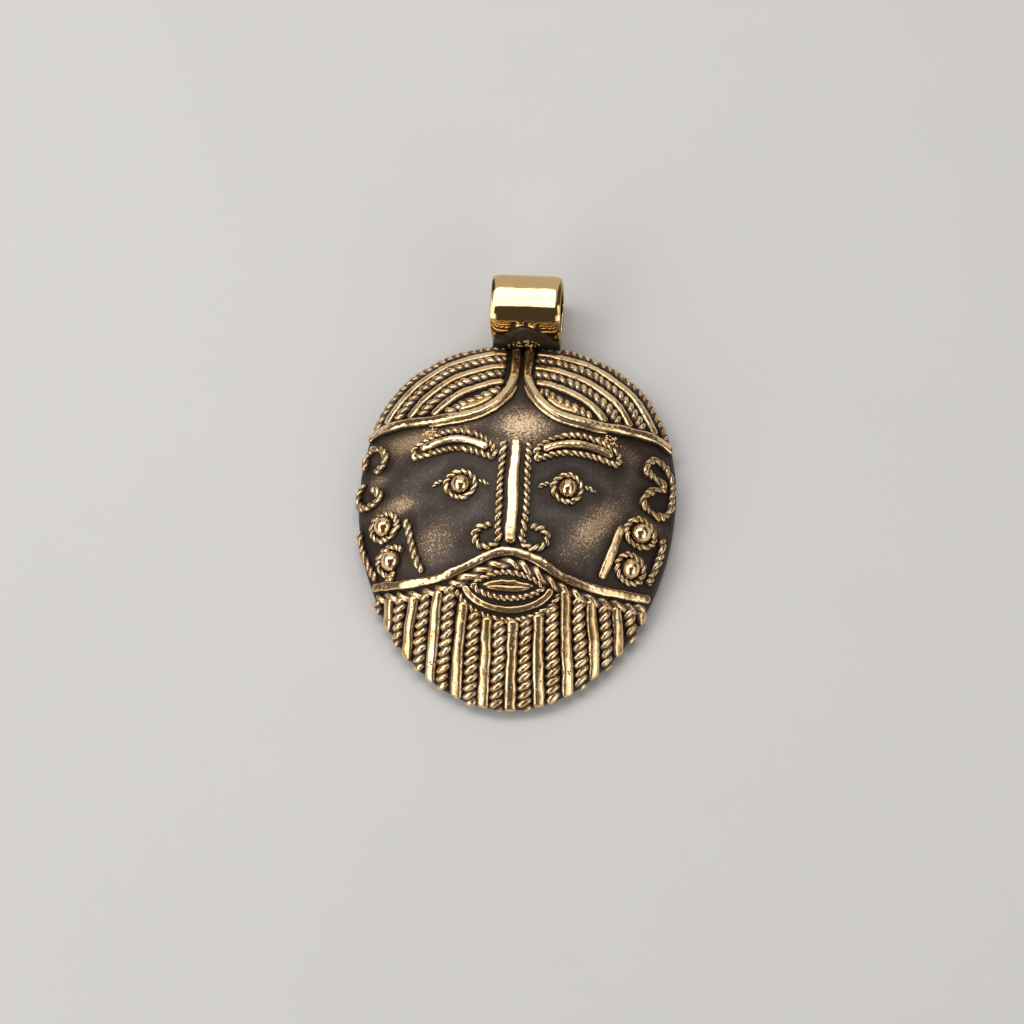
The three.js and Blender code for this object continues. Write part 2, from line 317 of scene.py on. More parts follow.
@dataclass(frozen=True)
class BailLoop:
    """The band loop, seen from the side, as a rounded square.

    Up and out are half its size along the pendant and half its depth. Points nearer its middle than
    core, as a share of the way out, stay where they are when the mask is saddled.
    """

    y: float = BAIL_PLAN_Y
    z: float = float(BAIL_LOW[2] + BAIL_HIGH[2]) / 2
    up: float = float(BAIL_HIGH[1] - BAIL_LOW[1]) / 2
    out: float = float(BAIL_HIGH[2] - BAIL_LOW[2]) / 2
    half_width: float = float(BAIL_HIGH[0] - BAIL_LOW[0]) / 2
    power: float = 3.3
    hole_power: float = 4.0
    wall: float = 0.58
    core: float = 0.3

    def ring(self, turn: Array, depth: float) -> Array:
        """Gives the loop's points, as y and z.

        Args:
            turn: The angle of each point.
            depth: Their depth under the outer face.

        Returns:
            The points, one row each.
        """
        c, s = np.cos(turn), np.sin(turn)
        rings = []
        for inset, power in ((0.0, self.power), (self.wall, self.hole_power)):
            across = (self.up - inset) * np.sign(c) * np.abs(c) ** (2 / power)
            along = (self.out - inset) * np.sign(s) * np.abs(s) ** (2 / power)
            rings.append(np.column_stack([self.y + across, self.z + along]))
        return rings[0] + (rings[1] - rings[0]) * depth / self.wall

    def share(self, points: Array, grow: float = 0.0) -> Array:
        """Says how far out points are.

        Args:
            points: Points of the mask.
            grow: A clearance, by which the loop's outer face is grown.

        Returns:
            For each point, 0 in the loop's middle and 1 on its outer face.
        """
        across = np.abs((points[:, 1] - self.y) / (self.up + grow)) ** self.power
        along = np.abs((points[:, 2] - self.z) / (self.out + grow)) ** self.power
        return (across + along) ** (1 / self.power)

    def clear(self, points: Array, gap: float = 0.1) -> Array:
        """Moves points that would lie in the loop out to its face, so that the mask is saddled.

        Args:
            points: Points of the mask.
            gap: The clearance to the loop's outer face.

        Returns:
            The points, with those in the loop moved.
        """
        near = np.abs(points[:, 0]) < self.half_width + gap
        share = self.share(points, gap)
        inside = near & (share < 1) & (share > self.core)
        middle = np.array([self.y, self.z])
        moved = points.copy()
        scale = np.where(inside, 1 / np.maximum(share, self.core), 1)[:, None]
        moved[:, 1:] = middle + (points[:, 1:] - middle) * scale
        return moved


LOOP = BailLoop()


@dataclass(frozen=True)
class Swelling:
    """A soft swelling on each side of the face, or a hollow if its height is below 0."""

    x: float
    y: float
    half_x: float
    half_y: float
    height: float

    def at(self, x: Array, y: Array) -> Array:
        """Gives its height at each point."""
        across, along = (x - self.x) / self.half_x, (y - self.y) / self.half_y
        return self.height * np.exp(-across ** 2 - along ** 2)


@dataclass(frozen=True)
class MaskForm:
    """The oval and the dome that all the relief lies on.

    The oval is given by its half width, by the y where it is widest, and by how far it goes up and
    down from there, each with the power of its curve. Edge is the dome's height at the rim, fall the
    power with which it falls away to there, and wall its thickness. The modelling sinks the eye
    sockets and fills the cheeks and the forehead, and it fades out over the levels in fading.
    """

    half_width: float = 14.8
    widest_at: float = 3.0
    up: float = 15.2
    up_power: float = 2.25
    down: float = 20.4
    down_power: float = 1.95
    edge: float = 1.2
    height: float = 7.0
    fall: float = 2.6
    wall: float = 1.6
    modelling: tuple[Swelling, ...] = (
        Swelling(4.9, 2.2, 2.7, 2.0, -0.42),
        Swelling(6.9, -2.3, 2.0, 2.3, 0.38),
        Swelling(0.0, 9.6, 4.0, 2.0, 0.22),
    )
    fading: Span = (0.8, 0.98)

    def level(self, plan: Array) -> Array:
        """Gives the level of plan points.

        Args:
            plan: The plan points.

        Returns:
            For each point, 0 on top of the dome and 1 at the rim.
        """
        dy = plan[:, 1] - self.widest_at
        tall = np.where(dy >= 0, self.up, self.down)
        power = np.where(dy >= 0, self.up_power, self.down_power)
        return (np.abs(plan[:, 0] / self.half_width) ** power + np.abs(dy / tall) ** power) ** (1 / power)

    def plan(self, turn: Array, share: Array) -> Array:
        """Gives plan points on the oval.

        Args:
            turn: The angle of each point.
            share: The level of each point.

        Returns:
            The plan points.
        """
        c, s = np.cos(turn), np.sin(turn)
        tall = np.where(s >= 0, self.up, self.down)
        power = np.where(s >= 0, self.up_power, self.down_power)
        x = self.half_width * share * np.sign(c) * np.abs(c) ** (2 / power)
        y = self.widest_at + tall * share * np.sign(s) * np.abs(s) ** (2 / power)
        return np.column_stack([x, y])

    def rise(self, share: Array) -> Array:
        """Gives the dome's height at a level."""
        return self.edge + (self.height - self.edge) * (1 - share ** self.fall)

    def modelled(self, plan: Array) -> Array:
        """Gives the height of the face's soft modelling over plan points."""
        total = sum(swelling.at(np.abs(plan[:, 0]), plan[:, 1]) for swelling in self.modelling)
        return total * (1 - ease(*self.fading, self.level(plan)))

    def surface(self, plan: Array) -> Array:
        """Gives the skin over plan points. Past the rim it runs down the edge.

        Args:
            plan: The plan points.

        Returns:
            A point of the skin for each.
        """
        share = self.level(plan)
        past = np.maximum(share, 1)
        y = self.widest_at + (plan[:, 1] - self.widest_at) / past
        z = self.rise(np.minimum(share, 1)) + self.modelled(plan) - (past - 1) * self.half_width
        return np.column_stack([plan[:, 0] / past, y, z])

    def outward(self, plan: Array, reach: float = 0.25) -> Array:
        """Gives the skin's outward direction over plan points.

        Args:
            plan: The plan points.
            reach: How far to each side of a point the slope is taken.

        Returns:
            A direction of length 1 for each.
        """
        dx, dy = np.array([reach, 0]), np.array([0, reach])
        across = self.surface(plan + dx) - self.surface(plan - dx)
        along = self.surface(plan + dy) - self.surface(plan - dy)
        normal = np.cross(across, along)
        return normal / np.linalg.norm(normal, axis=1)[:, None]


FORM = MaskForm()


@dataclass(frozen=True)
class Setting:
    """How a wire is set on the skin.

    The lift is the height of its middle over the skin, as a share of its width, and rim_sink is how
    much lower it lies at the rim. Worn is the share of its height that is worn flat, and uneven how
    strongly its width changes. Spread gives the share of its width at its two ends, and end is the
    length over which an open end rounds off. Polish is how smooth it is rubbed, from 0 to 1.
    """

    lift: float = 0.2
    rim_sink: float = 0.0
    worn: float = 0.2
    uneven: float = 0.03
    spread: Span = (1.0, 1.0)
    end: float = 0.35
    # Polish also lightens the gold in the finish: smoother wear, and in part a painted highlight on the
    # plain bands.
    polish: float = 0.0


@dataclass(frozen=True)
class Rope:
    """A wire of two strands twisted round each other.

    The pitch is the length of one whole turn, and the depth is how far the two strands stand apart,
    as a share of a strand's radius.
    """

    width: float
    pitch: float
    depth: float = 0.75
    tall: float = 0.95
    setting: Setting = Setting()


@dataclass(frozen=True)
class Rod:
    """A plain wire with a rubbed, flattened top.

    Tall is its height as a share of its width. Boxy says how square its section is: 2 is round.
    """

    width: float
    tall: float = 0.85
    boxy: float = 3.0
    setting: Setting = Setting(worn=0.3)


@dataclass
class Laid:
    """A route laid on the skin: evenly spaced stations with their directions."""

    base: Array
    up: Array
    side: Array
    run: Array
    length: float
    closed: bool
    fewest: ClassVar[int] = 4
    tip: ClassVar[float] = 0.02

    @classmethod
    def along(cls, route: Array, step: float, closed: bool) -> "Laid":
        """Spaces stations evenly along a route.

        Args:
            route: Plan points, close together.
            step: The distance between two stations, in millimetres.
            closed: Whether the route returns to its start.

        Returns:
            The laid route.
        """
        plan = np.vstack([route, route[:1]]) if closed else route
        base = FORM.surface(plan)
        run = np.concatenate([[0], np.cumsum(np.linalg.norm(np.diff(base, axis=0), axis=1))])
        count = max(cls.fewest, round(run[-1] / step))
        at = np.linspace(0, run[-1], count + 1)[: count if closed else None]
        plan = np.column_stack([np.interp(at, run, plan[:, k]) for k in (0, 1)])
        base = FORM.surface(plan)
        if closed:
            ahead = np.roll(base, -1, 0) - np.roll(base, 1, 0)
        else:
            ahead = np.gradient(base, axis=0)
        up = FORM.outward(plan)
        side = np.cross(ahead, up)
        side /= np.linalg.norm(side, axis=1)[:, None]
        return cls(base, up, side, at, float(run[-1]), closed)

    def level(self) -> Array:
        """Gives the level of each station."""
        return FORM.level(self.base[:, :2])

    def taper(self, end: float) -> Array:
        """Gives the share of the full thickness at each station, with rounded ends.

        Args:
            end: The length over which an open end rounds off.

        Returns:
            The share at each station. A closed route has no ends, and keeps its full thickness.
        """
        if self.closed:
            return np.ones(len(self.run))
        near = np.minimum(self.run, self.length - self.run)
        t = np.clip(near / end, 0, 1)
        return np.sqrt(np.maximum(1 - (1 - t) ** 2, self.tip))


class Contacts:
    """Where wires and granules lie on the plate, which is darker beside them: patina and painted shade."""

    def __init__(self) -> None:
        """Starts with none."""
        self.places: list[tuple[Array, float]] = []

    def add(self, points: Array, radius: float) -> None:
        """Notes the points where something of a given radius lies."""
        self.places.append((points, radius))

    def shelter(self, points: Array, reach: float) -> Array:
        """Says how darkly points of the plate are shaded beside wires, as patina and painted shade.

        Args:
            points: The plate's points.
            reach: How far from a wire's edge the darkening goes, in millimetres.

        Returns:
            For each point, 1 beside a wire and 0 out of its reach.
        """
        tree = KDTree(sum(len(group) for group, _ in self.places))
        radii = []
        for group, radius in self.places:
            for point in group:
                tree.insert(point, len(radii))
                radii.append(radius)
        tree.balance()
        found = (tree.find(point) for point in points)
        gaps = np.array([distance - radii[number] for _, number, distance in found])
        return 1 - ease(0, reach, gaps)


class Relief:
    """The draft of one piece of relief: wires and granules on the skin.

    Its constants say how fine a wire's mesh is, and then what all wires share: the level from which
    they sink towards the rim, how much height is left of what is worn off, how light their end caps
    and the bottoms of their grooves are toned, as patina and painted shade, how far up a groove the
    painted shade reaches, the slowest and the fastest of so many changes in their width, how much
    these turn a twist, and the share of them that a plain wire has.
    """

    around = 20
    rope_steps = 14
    rod_step = 0.12
    contact_step = 3
    rim_from = 0.9
    worn_left = 0.35
    cap_tone = 0.4
    groove_shade_tone = 0.2
    groove_share = 0.5
    paces = (0.8, 4.2, 4)
    stretch = 5.0
    rod_change = 0.7

    def __init__(self, contacts: Contacts) -> None:
        """Starts an empty piece.

        Args:
            contacts: The record of where wires and granules lie.
        """
        self.draft = Draft()
        self.contacts = contacts
        self.turn = np.arange(self.around) * TURN / self.around

    def tube(self, laid: Laid, radius: Array, wire: Rope | Rod, groove_shading: Array | float = 1.0) -> None:
        """Adds a closed tube, worn flat on top.

        Args:
            laid: The route.
            radius: The radius at each station and angle.
            wire: The wire's sizes and its setting.
            groove_shading: For each station and angle, how far it stands out of the wire's own grooves,
                which darkens the grooves as patina and painted shade.
        """
        setting, top = wire.setting, wire.width * wire.tall / 2
        sink = setting.rim_sink * ease(self.rim_from, 1.0, laid.level())
        lift = wire.width * (setting.lift - sink)[:, None]
        height = np.sin(self.turn) * radius * wire.tall
        cap = top * (1 - setting.worn)
        worn = np.where(height > cap, cap + (height - cap) * self.worn_left, height)
        rise = (lift + height) / (lift + top)
        middle = laid.base + laid.up * lift
        points = (middle[:, None]
                  + laid.side[:, None] * (np.cos(self.turn) * radius)[..., None]
                  + laid.up[:, None] * worn[..., None]).reshape(-1, 3)
        count = len(laid.base)
        faces = [grid_faces(count, self.around, wrap_rows=laid.closed, wrap_columns=True)[:, ::-1]]
        # The tone falls towards the skin and into the grooves; the finish darkens it there as patina, and
        # as painted shade on the wire's low sides.
        tone = (np.clip(rise, 0, 1) * groove_shading).reshape(-1)
        if not laid.closed:
            hub = len(points)
            points = np.vstack([points, middle[:1], middle[-1:]])
            tone = np.concatenate([tone, [self.cap_tone, self.cap_tone]])
            ring = np.arange(self.around)
            faces.append(fan_faces(ring, hub))
            faces.append(fan_faces(ring + (count - 1) * self.around, hub + 1, flip=True))
        self.draft.add(LOOP.clear(points), faces, tone, setting.polish)
        self.contacts.add(laid.base[::self.contact_step], float(radius.max()))

    def swell(self, laid: Laid, seed: int, amount: float) -> Array:
        """Gives the small changes in a wire's width along it.

        Args:
            laid: The route.
            seed: The seed of the changes.
            amount: How strong they are.

        Returns:
            The change at each station, as a share of the width.
        """
        draw = np.random.default_rng(seed + 11)
        slowest, fastest, count = self.paces
        pace, phase = draw.uniform(slowest, fastest, count), draw.uniform(0, TURN, count)
        if laid.closed:
            pace = np.maximum(1, np.round(pace * laid.length / TURN)) * TURN / laid.length
        return amount * np.sin(laid.run[:, None] * pace + phase).sum(1)

    def twisted(self, route: Array, rope: Rope, seed: int = 0, closed: bool = False,
                hand: Hand = Hand.RIGHT) -> None:
        """Lays a wire of two strands twisted round each other.

        Args:
            route: Plan points, close together.
            rope: The wire's sizes and its setting.
            seed: The seed of its small changes in width.
            closed: Whether its ends meet.
            hand: The way that it is twisted.
        """
        laid = Laid.along(route, rope.pitch / self.rope_steps, closed)
        turns = laid.length / rope.pitch
        if closed:
            turns = max(1, round(turns * 2)) / 2
        depth, setting = rope.depth, rope.setting
        strand = rope.width / 2 / (1 + depth)
        change = self.swell(laid, seed, setting.uneven)
        swell = (1 + change) * np.interp(laid.run, [0, laid.length], setting.spread)
        twist = TURN * turns * laid.run / laid.length + self.stretch * change
        spin = self.turn[None] + hand.value * twist[:, None]
        reach = strand * (depth * np.abs(np.cos(spin)) + np.sqrt(1 - (depth * np.sin(spin)) ** 2))
        groove = (reach - reach.min()) / (reach.max() - reach.min())
        # Painted shade in the rope's grooves, together with their patina.
        groove_shading = self.groove_shade_tone + (1 - self.groove_shade_tone) * ease(0.0, self.groove_share, groove)
        self.tube(laid, reach * (laid.taper(setting.end) * swell)[:, None], rope, groove_shading)

    def smooth(self, route: Array, rod: Rod, seed: int = 0, closed: bool = False) -> None:
        """Lays a plain wire with a rubbed, flattened top.

        Args:
            route: Plan points, close together.
            rod: The wire's sizes and its setting.
            seed: The seed of its small changes in width.
            closed: Whether its ends meet.
        """
        laid = Laid.along(route, self.rod_step, closed)
        boxy, setting = rod.boxy, rod.setting
        section = (np.abs(np.cos(self.turn)) ** boxy + np.abs(np.sin(self.turn)) ** boxy) ** (-1 / boxy)
        change = self.swell(laid, seed, setting.uneven * self.rod_change)
        swell = (1 + change) * np.interp(laid.run, [0, laid.length], setting.spread)
        self.tube(laid, section[None] * rod.width / 2 * (swell * laid.taper(setting.end))[:, None], rod)

    def granule(self, x: float, y: float, radius: float, lift: float = 0.35) -> None:
        """Sets a round granule on the skin.

        Args:
            x: Its x in the plan.
            y: Its y in the plan.
            radius: Its radius.
            lift: The height of its middle over the skin, as a share of its radius.
        """
        plan = np.array([[x, y]])
        foot, up = FORM.surface(plan)[0], FORM.outward(plan)[0]
        self.bead(foot + up * lift * radius, up, radius, rings=14, around=28, polish=1.0)
        self.contacts.add(foot[None], radius)

    def bead(self, middle: Array, up: Array, radius: float, rings: int = 5, around: int = 10,
             polish: float = 0.4) -> None:
        """Adds a round bead.

        Args:
            middle: Its middle.
            up: The direction of its brightest side; it is painted lighter there and darker on the far side,
                partly wear on its top and partly painted light and shade.
            radius: Its radius.
            rings: How many rings of points it has between its poles.
            around: How many points a ring has.
            polish: How smooth it is rubbed.
        """
        across = np.cross(up, [0, 1, 0])
        across /= np.linalg.norm(across)
        along = np.cross(up, across)
        fall = np.linspace(0, math.pi, rings + 2)[1:-1, None]
        turn = (np.arange(around) * TURN / around)[None]
        local = [np.sin(fall) * np.cos(turn), np.sin(fall) * np.sin(turn), np.cos(fall) + 0 * turn]
        points = sum(c[..., None] * axis for c, axis in zip(local, (across, along, up)))
        points = np.vstack([points.reshape(-1, 3), up, -up]) * radius + middle
        height = np.concatenate([(np.cos(fall) + 0 * turn).reshape(-1), [1, -1]])
        last = (rings - 1) * around + np.arange(around)
        faces = [grid_faces(rings, around, wrap_columns=True)[:, ::-1],
                 fan_faces(np.arange(around), rings * around),
                 fan_faces(last, rings * around + 1, flip=True)]
        # The tone is lighter towards up and darker on the far side: painted highlight and painted shade,
        # with wear on the top.
        self.draft.add(points, faces, ease(-0.5, 0.5, height), polish)


# Sub-assemblies of the mask


@dataclass(frozen=True)
class Shop:
    """What every sub-assembly is built with: the finishes and the record of where wires lie."""

    bronze: bpy.types.Material
    polish: bpy.types.Material
    contacts: Contacts


class MaskPiece:
    """A sub-assembly of the mask, laid on the skin in wires and granules."""

    kind: ClassVar[str]

    @property
    def name(self) -> str:
        """Gives the piece's name."""
        return self.kind

    def lay(self, relief: Relief) -> None:
        """Lays the piece's wires and granules."""
        raise NotImplementedError

    def build(self, shop: Shop) -> bpy.types.Object:
        """Builds the piece and dresses it in patinated bronze.

        Args:
            shop: The finishes, and where the wires lie.

        Returns:
            The finished piece.
        """
        relief = Relief(shop.contacts)
        self.lay(relief)
        piece = relief.draft.build(self.name)
        place(piece, MASK_NODE, shop.bronze)
        return piece


@dataclass(frozen=True)
class SidePiece(MaskPiece):
    """A sub-assembly that each side of the face has."""

    side: Side

    @property
    def name(self) -> str:
        """Gives the piece's name, with its side."""
        return f"{self.kind}_{self.side.name.lower()}"


@dataclass(frozen=True)
class HairLobe(SidePiece):
    """One lobe of the parted hair: an edge band round strands that follow the oval.

    Levels and the pitch are shares of the oval. The strands end at parting_gap from the middle, nearer
    by parting_skew on the wearer's left and farther by it on the right. They stay edge_gap away from
    the band's middle line, and the innermost one runs beside it at inner_gap. The whole parting is
    moved by parting_shift, which grows over shifted_y and fades out over unshifted_x.
    """

    kind: ClassVar[str] = "hair"
    edge: Route = (
        (0.62, 17.95), (0.6, 15.6), (0.68, 13.1), (1.34, 11.25), (2.75, 9.75), (4.6, 8.95), (6.9, 8.6),
        (9.2, 8.6), (11.4, 8.62), (13.2, 8.45), (14.2, 8.0))
    strands: int = 8
    outer_level: float = 0.98
    pitch: float = 0.0655
    parting_gap: float = 1.25
    parting_skew: float = 0.15
    parting_shift: float = -0.2
    parting_foot: float = 13.0
    shifted_y: Span = (10.5, 16.5)
    unshifted_x: Span = (2.0, 9.0)
    edge_gap: float = 0.6
    inner_gap: float = 1.02
    inner_reach: Span = (1.75, 5.6)
    inner_clearance: float = 0.9
    ledge_gap: float = 0.47
    ledge_reach: Span = (0.75, 8.4)
    strand_setting: ClassVar[Setting] = Setting(lift=0.08, rim_sink=0.16)
    rope: Rope = Rope(1.1, 1.5, depth=0.48, setting=strand_setting)
    plain: Rod = Rod(0.88, boxy=2.3, setting=strand_setting)
    band: Rod = Rod(0.92, tall=0.95, boxy=2.6,
                    setting=Setting(lift=0.3, rim_sink=0.2, spread=(0.84, 1.0), polish=0.5))
    ledge: Rod = Rod(0.36, setting=Setting(lift=0.5, uneven=0.08, end=1.2))

    def beside_edge(self, gap: float, low: float, high: float) -> Array:
        """Finds a route beside the edge band, from one x to another.

        Args:
            gap: How far it is from the band's middle, more than 0 towards the brow.
            low: Where it starts, as the band's x.
            high: Where it ends.

        Returns:
            Its plan points.
        """
        edge = through(self.edge)
        ahead = np.gradient(edge, axis=0)
        out = np.column_stack([ahead[:, 1], -ahead[:, 0]]) / np.linalg.norm(ahead, axis=1)[:, None]
        kept = (edge[:, 0] > low) & (edge[:, 0] < high) & (edge[:, 1] < self.parting_foot)
        return (edge + out * gap)[kept]

    def strand_route(self, number: int) -> Array:
        """Finds one strand's route, from the edge band to the parting.

        Args:
            number: The strand's number, from the rim inwards.

        Returns:
            Its plan points.
        """
        inner = self.beside_edge(-self.inner_gap, *self.inner_reach)
        if number == self.strands - 1:
            return inner
        turn = np.linspace(0.02, math.pi / 2, 700)
        plan = FORM.plan(turn, np.full(len(turn), self.outer_level - self.pitch * number))
        edge = through(self.edge)
        below = edge[np.argmin(edge[:, 0]):]
        inside = plan[:, 1] > np.interp(plan[:, 0], below[:, 0], below[:, 1])
        clear = distance_to(edge, plan) > self.edge_gap
        clear &= distance_to(inner, plan) > self.inner_gap * self.inner_clearance
        beside_parting = plan[:, 0] > self.parting_gap - self.parting_skew * self.side.value
        return plan[beside_parting & inside & clear]

    def mirrored(self, route: Array) -> Array:
        """Puts a route on its own side, and moves the parting a little.

        Args:
            route: A route as it lies on the wearer's left.

        Returns:
            Its plan points.
        """
        near = ease(*self.shifted_y, route[:, 1]) * (1 - ease(*self.unshifted_x, route[:, 0]))
        return np.column_stack([self.side.value * route[:, 0] + self.parting_shift * near, route[:, 1]])

    def lay(self, relief: Relief) -> None:
        """Lays the strands, the edge band and the thin ledge under it.

        Args:
            relief: The draft that they go into.
        """
        for number in range(self.strands):
            route = self.mirrored(self.strand_route(number))
            seed = number + 20 * (self.side.value + 1)
            if number % 2:
                relief.smooth(route, self.plain, seed)
            else:
                relief.twisted(route, self.rope, seed)
        relief.smooth(self.mirrored(through(self.edge)), self.band, seed=5)
        ledge = self.beside_edge(self.ledge_gap, *self.ledge_reach)
        relief.smooth(self.mirrored(ledge), self.ledge, seed=4)


@dataclass(frozen=True)
class Brow(SidePiece):
    """A calm, level brow: a closed loop of twisted wire round a plain core."""

    kind: ClassVar[str] = "brow"
    start: float = 1.9
    stop: float = 9.4
    inner: float = 5.05
    arch: float = 1.2
    arch_power: float = 0.85
    drop: float = 0.4
    half: float = 0.9
    blunt: float = 0.45
    core_inset: float = 0.6
    rope: Rope = Rope(0.7, 1.25, setting=Setting(worn=0.1, uneven=0.04))
    core: Rod = Rod(0.72, tall=1.1, boxy=2.3, setting=Setting(worn=0.12, lift=0.3, polish=0.4))

    def height(self, x: Array) -> Array:
        """Gives the brow's middle line."""
        along = np.clip((x - self.start) / (self.stop - self.start), 0, 1)
        return self.inner + self.arch * np.sin(math.pi * along ** self.arch_power) + self.drop * along

    def lay(self, relief: Relief) -> None:
        """Lays the loop and its core.

        Args:
            relief: The draft that they go into.
        """
        turn = np.linspace(0, TURN, 90, endpoint=False)
        x = (self.start + self.stop) / 2 + (self.stop - self.start) / 2 * np.cos(turn)
        swell = np.sign(np.sin(turn)) * np.abs(np.sin(turn)) ** self.blunt
        loop = np.column_stack([x, self.height(x) + self.half * swell])
        relief.twisted(on_side(self.side, loop), self.rope, seed=8, closed=True)
        x = np.linspace(self.start + self.core_inset, self.stop - self.core_inset, 60)
        core = np.column_stack([x, self.height(x)])
        relief.smooth(on_side(self.side, core), self.core, seed=9)


@dataclass(frozen=True)
class Eye(SidePiece):
    """An eye: a round granule in a ring of twisted wire, with a short tail at each corner.

    The tail's points are measured from the ring's middle, outwards and up.
    """

    kind: ClassVar[str] = "eye"
    x: float = 4.9
    y: float = 2.1
    ball: float = 0.86
    radius: float = 1.32
    tail: Route = ((1.52, 0.42), (2.07, 0.22), (2.65, -0.18))
    ring_rope: Rope = Rope(0.6, 1.35, depth=0.6, setting=Setting(uneven=0.05))
    tail_rope: Rope = Rope(0.51, 1.0, setting=Setting(end=0.6))

    def lay(self, relief: Relief) -> None:
        """Lays the granule, the ring and the tails.

        Args:
            relief: The draft that they go into.
        """
        middle = np.array([self.side.value * self.x, self.y])
        relief.granule(middle[0], middle[1], self.ball)
        relief.twisted(ellipse(*middle, self.radius, self.radius), self.ring_rope, seed=15, closed=True)
        for way in (-1, 1):
            tail = through(middle + np.array(self.tail) * [way, 1])
            relief.twisted(tail, self.tail_rope, seed=way + 17)


@dataclass(frozen=True)
class Nose(MaskPiece):
    """A straight nose: a flat-topped ridge between two twisted wires that curl into the nostrils."""

    kind: ClassVar[str] = "nose"
    top: float = 6.4
    base: float = -3.5
    overhang: float = 0.1
    rope_x: float = 1.18
    wing: float = 1.0
    wing_width: float = 1.12
    wing_rise: float = 0.62
    wing_turn: Span = (1.08, 2.62)
    rope: Rope = Rope(0.8, 1.42)
    ridge: Rod = Rod(0.9, tall=0.95, boxy=6.0, setting=Setting(lift=0.42, worn=0.12, spread=(0.92, 1.2)))

    def lay(self, relief: Relief) -> None:
        """Lays the two twisted wires and the ridge.

        Args:
            relief: The draft that they go into.
        """
        x = self.rope_x
        start, end = (math.pi * share for share in self.wing_turn)
        down = [(x - 0.06, self.top), (x, 3), (x, 0), (x + 0.05, -2.0)]
        curl = ellipse(x + self.wing, self.base + self.wing_rise, self.wing * self.wing_width, self.wing,
                       start, end, count=12)
        for side in Side:
            route = on_side(side, through(np.vstack([down, curl])))
            relief.twisted(route, self.rope, seed=24 + side.value, hand=Hand(-side.value))
        y = np.linspace(self.top + self.overhang, self.base - self.overhang, 80)
        relief.smooth(np.column_stack([0 * y, y]), self.ridge, seed=2)


@dataclass(frozen=True)
class Ear(SidePiece):
    """An ear drawn as two loops of thin twisted wire.

    They are joined on the wearer's left and parted on the right.
    """

    kind: ClassVar[str] = "ear"
    joined: Route = (
        (12.0, 2.85), (12.82, 3.57), (13.5, 3.9), (13.2, 4.4), (12.47, 4.75), (11.85, 5.2), (12.1, 6.0),
        (12.75, 6.45), (13.55, 6.05), (14.1, 5.2), (14.3, 4.3), (14.25, 3.0), (14.15, 1.9), (13.5, 1.1),
        (12.5, 1.2), (11.65, 1.8))
    upper: Route = (
        (14.2, 4.75), (14.3, 5.6), (14.1, 6.3), (13.6, 6.75), (12.95, 6.65), (12.4, 6.0), (12.25, 5.1),
        (12.65, 4.5), (13.2, 4.3))
    lower: Route = (
        (13.4, 2.75), (12.65, 2.15), (12.5, 1.5), (13.2, 1.0), (14.1, 1.0), (14.6, 1.6), (14.65, 2.4),
        (14.4, 3.0), (14.0, 3.35))
    rope: Rope = Rope(0.8, 1.6, depth=0.5, setting=Setting(uneven=0.055))

    def lay(self, relief: Relief) -> None:
        """Lays the loops.

        Args:
            relief: The draft that they go into.
        """
        joined = self.side is Side.LEFT
        for number, points in enumerate([self.joined] if joined else [self.upper, self.lower]):
            route = on_side(self.side, through(points, closed=joined))
            relief.twisted(route, self.rope, seed=50 + number, closed=joined)


@dataclass(frozen=True)
class CheekOrnament(SidePiece):
    """The cheek ornament: two granules in twisted rings between two bars.

    On the wearer's left both rings are closed and the inner bar is plain. On the right the lower
    ring opens into a tail and the inner bar is twisted. The tail's points are measured from the
    ring's middle.
    """

    kind: ClassVar[str] = "cheek_ornament"
    places: Route
    outer_bar: Route
    inner_bar: Route
    ball: float = 0.92
    radius: float = 1.24
    tail: Route = ((0.75, -2.0), (0.1, -1.68))
    open_turn: Span = (-0.72, 0.82)
    ring_rope: Rope = Rope(0.71, 1.35, depth=0.6, setting=Setting(uneven=0.05))
    bar_rope: Rope = Rope(0.84, 1.6, depth=0.5, setting=Setting(uneven=0.05))
    plain_bar: Rod = Rod(0.7728)

    @classmethod
    def on(cls, side: Side) -> "CheekOrnament":
        """Gives the ornament of one side. They differ a little, as hand-laid wires do.

        Args:
            side: The side of the face.

        Returns:
            The side's ornament.
        """
        if side is Side.LEFT:
            return cls(side, places=((11.6, -1.0), (10.77, -4.43)),
                       outer_bar=((13.6, -0.7), (13.43, -2.24), (13.05, -3.7), (12.37, -5.44)),
                       inner_bar=((9.93, -0.76), (9.27, -2.8), (8.23, -5.87)))
        return cls(side, places=((11.81, -1.3), (10.97, -4.56)),
                   outer_bar=((14.33, -1.07), (13.94, -2.88), (13.15, -4.64), (12.34, -6.05)),
                   inner_bar=((9.8, -0.93), (9.26, -2.82), (8.63, -4.46), (7.9, -6.08)))

    def open_ring(self, x: float, y: float) -> Array:
        """Gives the route of an open ring that starts as a tail under it.

        Args:
            x: The ring's middle.
            y: The ring's middle.

        Returns:
            Its plan points.
        """
        start, end = (math.pi * share for share in self.open_turn)
        ring = ellipse(x, y, self.radius, self.radius, start, end)[4:]
        return through(np.vstack([np.array(self.tail) + [x, y], ring]), per_span=3)

    def lay(self, relief: Relief) -> None:
        """Lays the granules, their rings and the bars.

        Args:
            relief: The draft that they go into.
        """
        left = self.side is Side.LEFT
        for number, (x, y) in enumerate(self.places):
            relief.granule(self.side.value * x, y, self.ball)
            closed = left or number == 0
            ring = ellipse(x, y, self.radius, self.radius) if closed else self.open_ring(x, y)
            seed = 60 + number if closed else 62
            relief.twisted(on_side(self.side, ring), self.ring_rope, seed, closed=closed)
        relief.twisted(on_side(self.side, through(self.outer_bar)), self.bar_rope, seed=64)
        inner = on_side(self.side, through(self.inner_bar))
        if left:
            relief.smooth(inner, self.plain_bar, seed=31)
        else:
            relief.twisted(inner, self.bar_rope, seed=65)


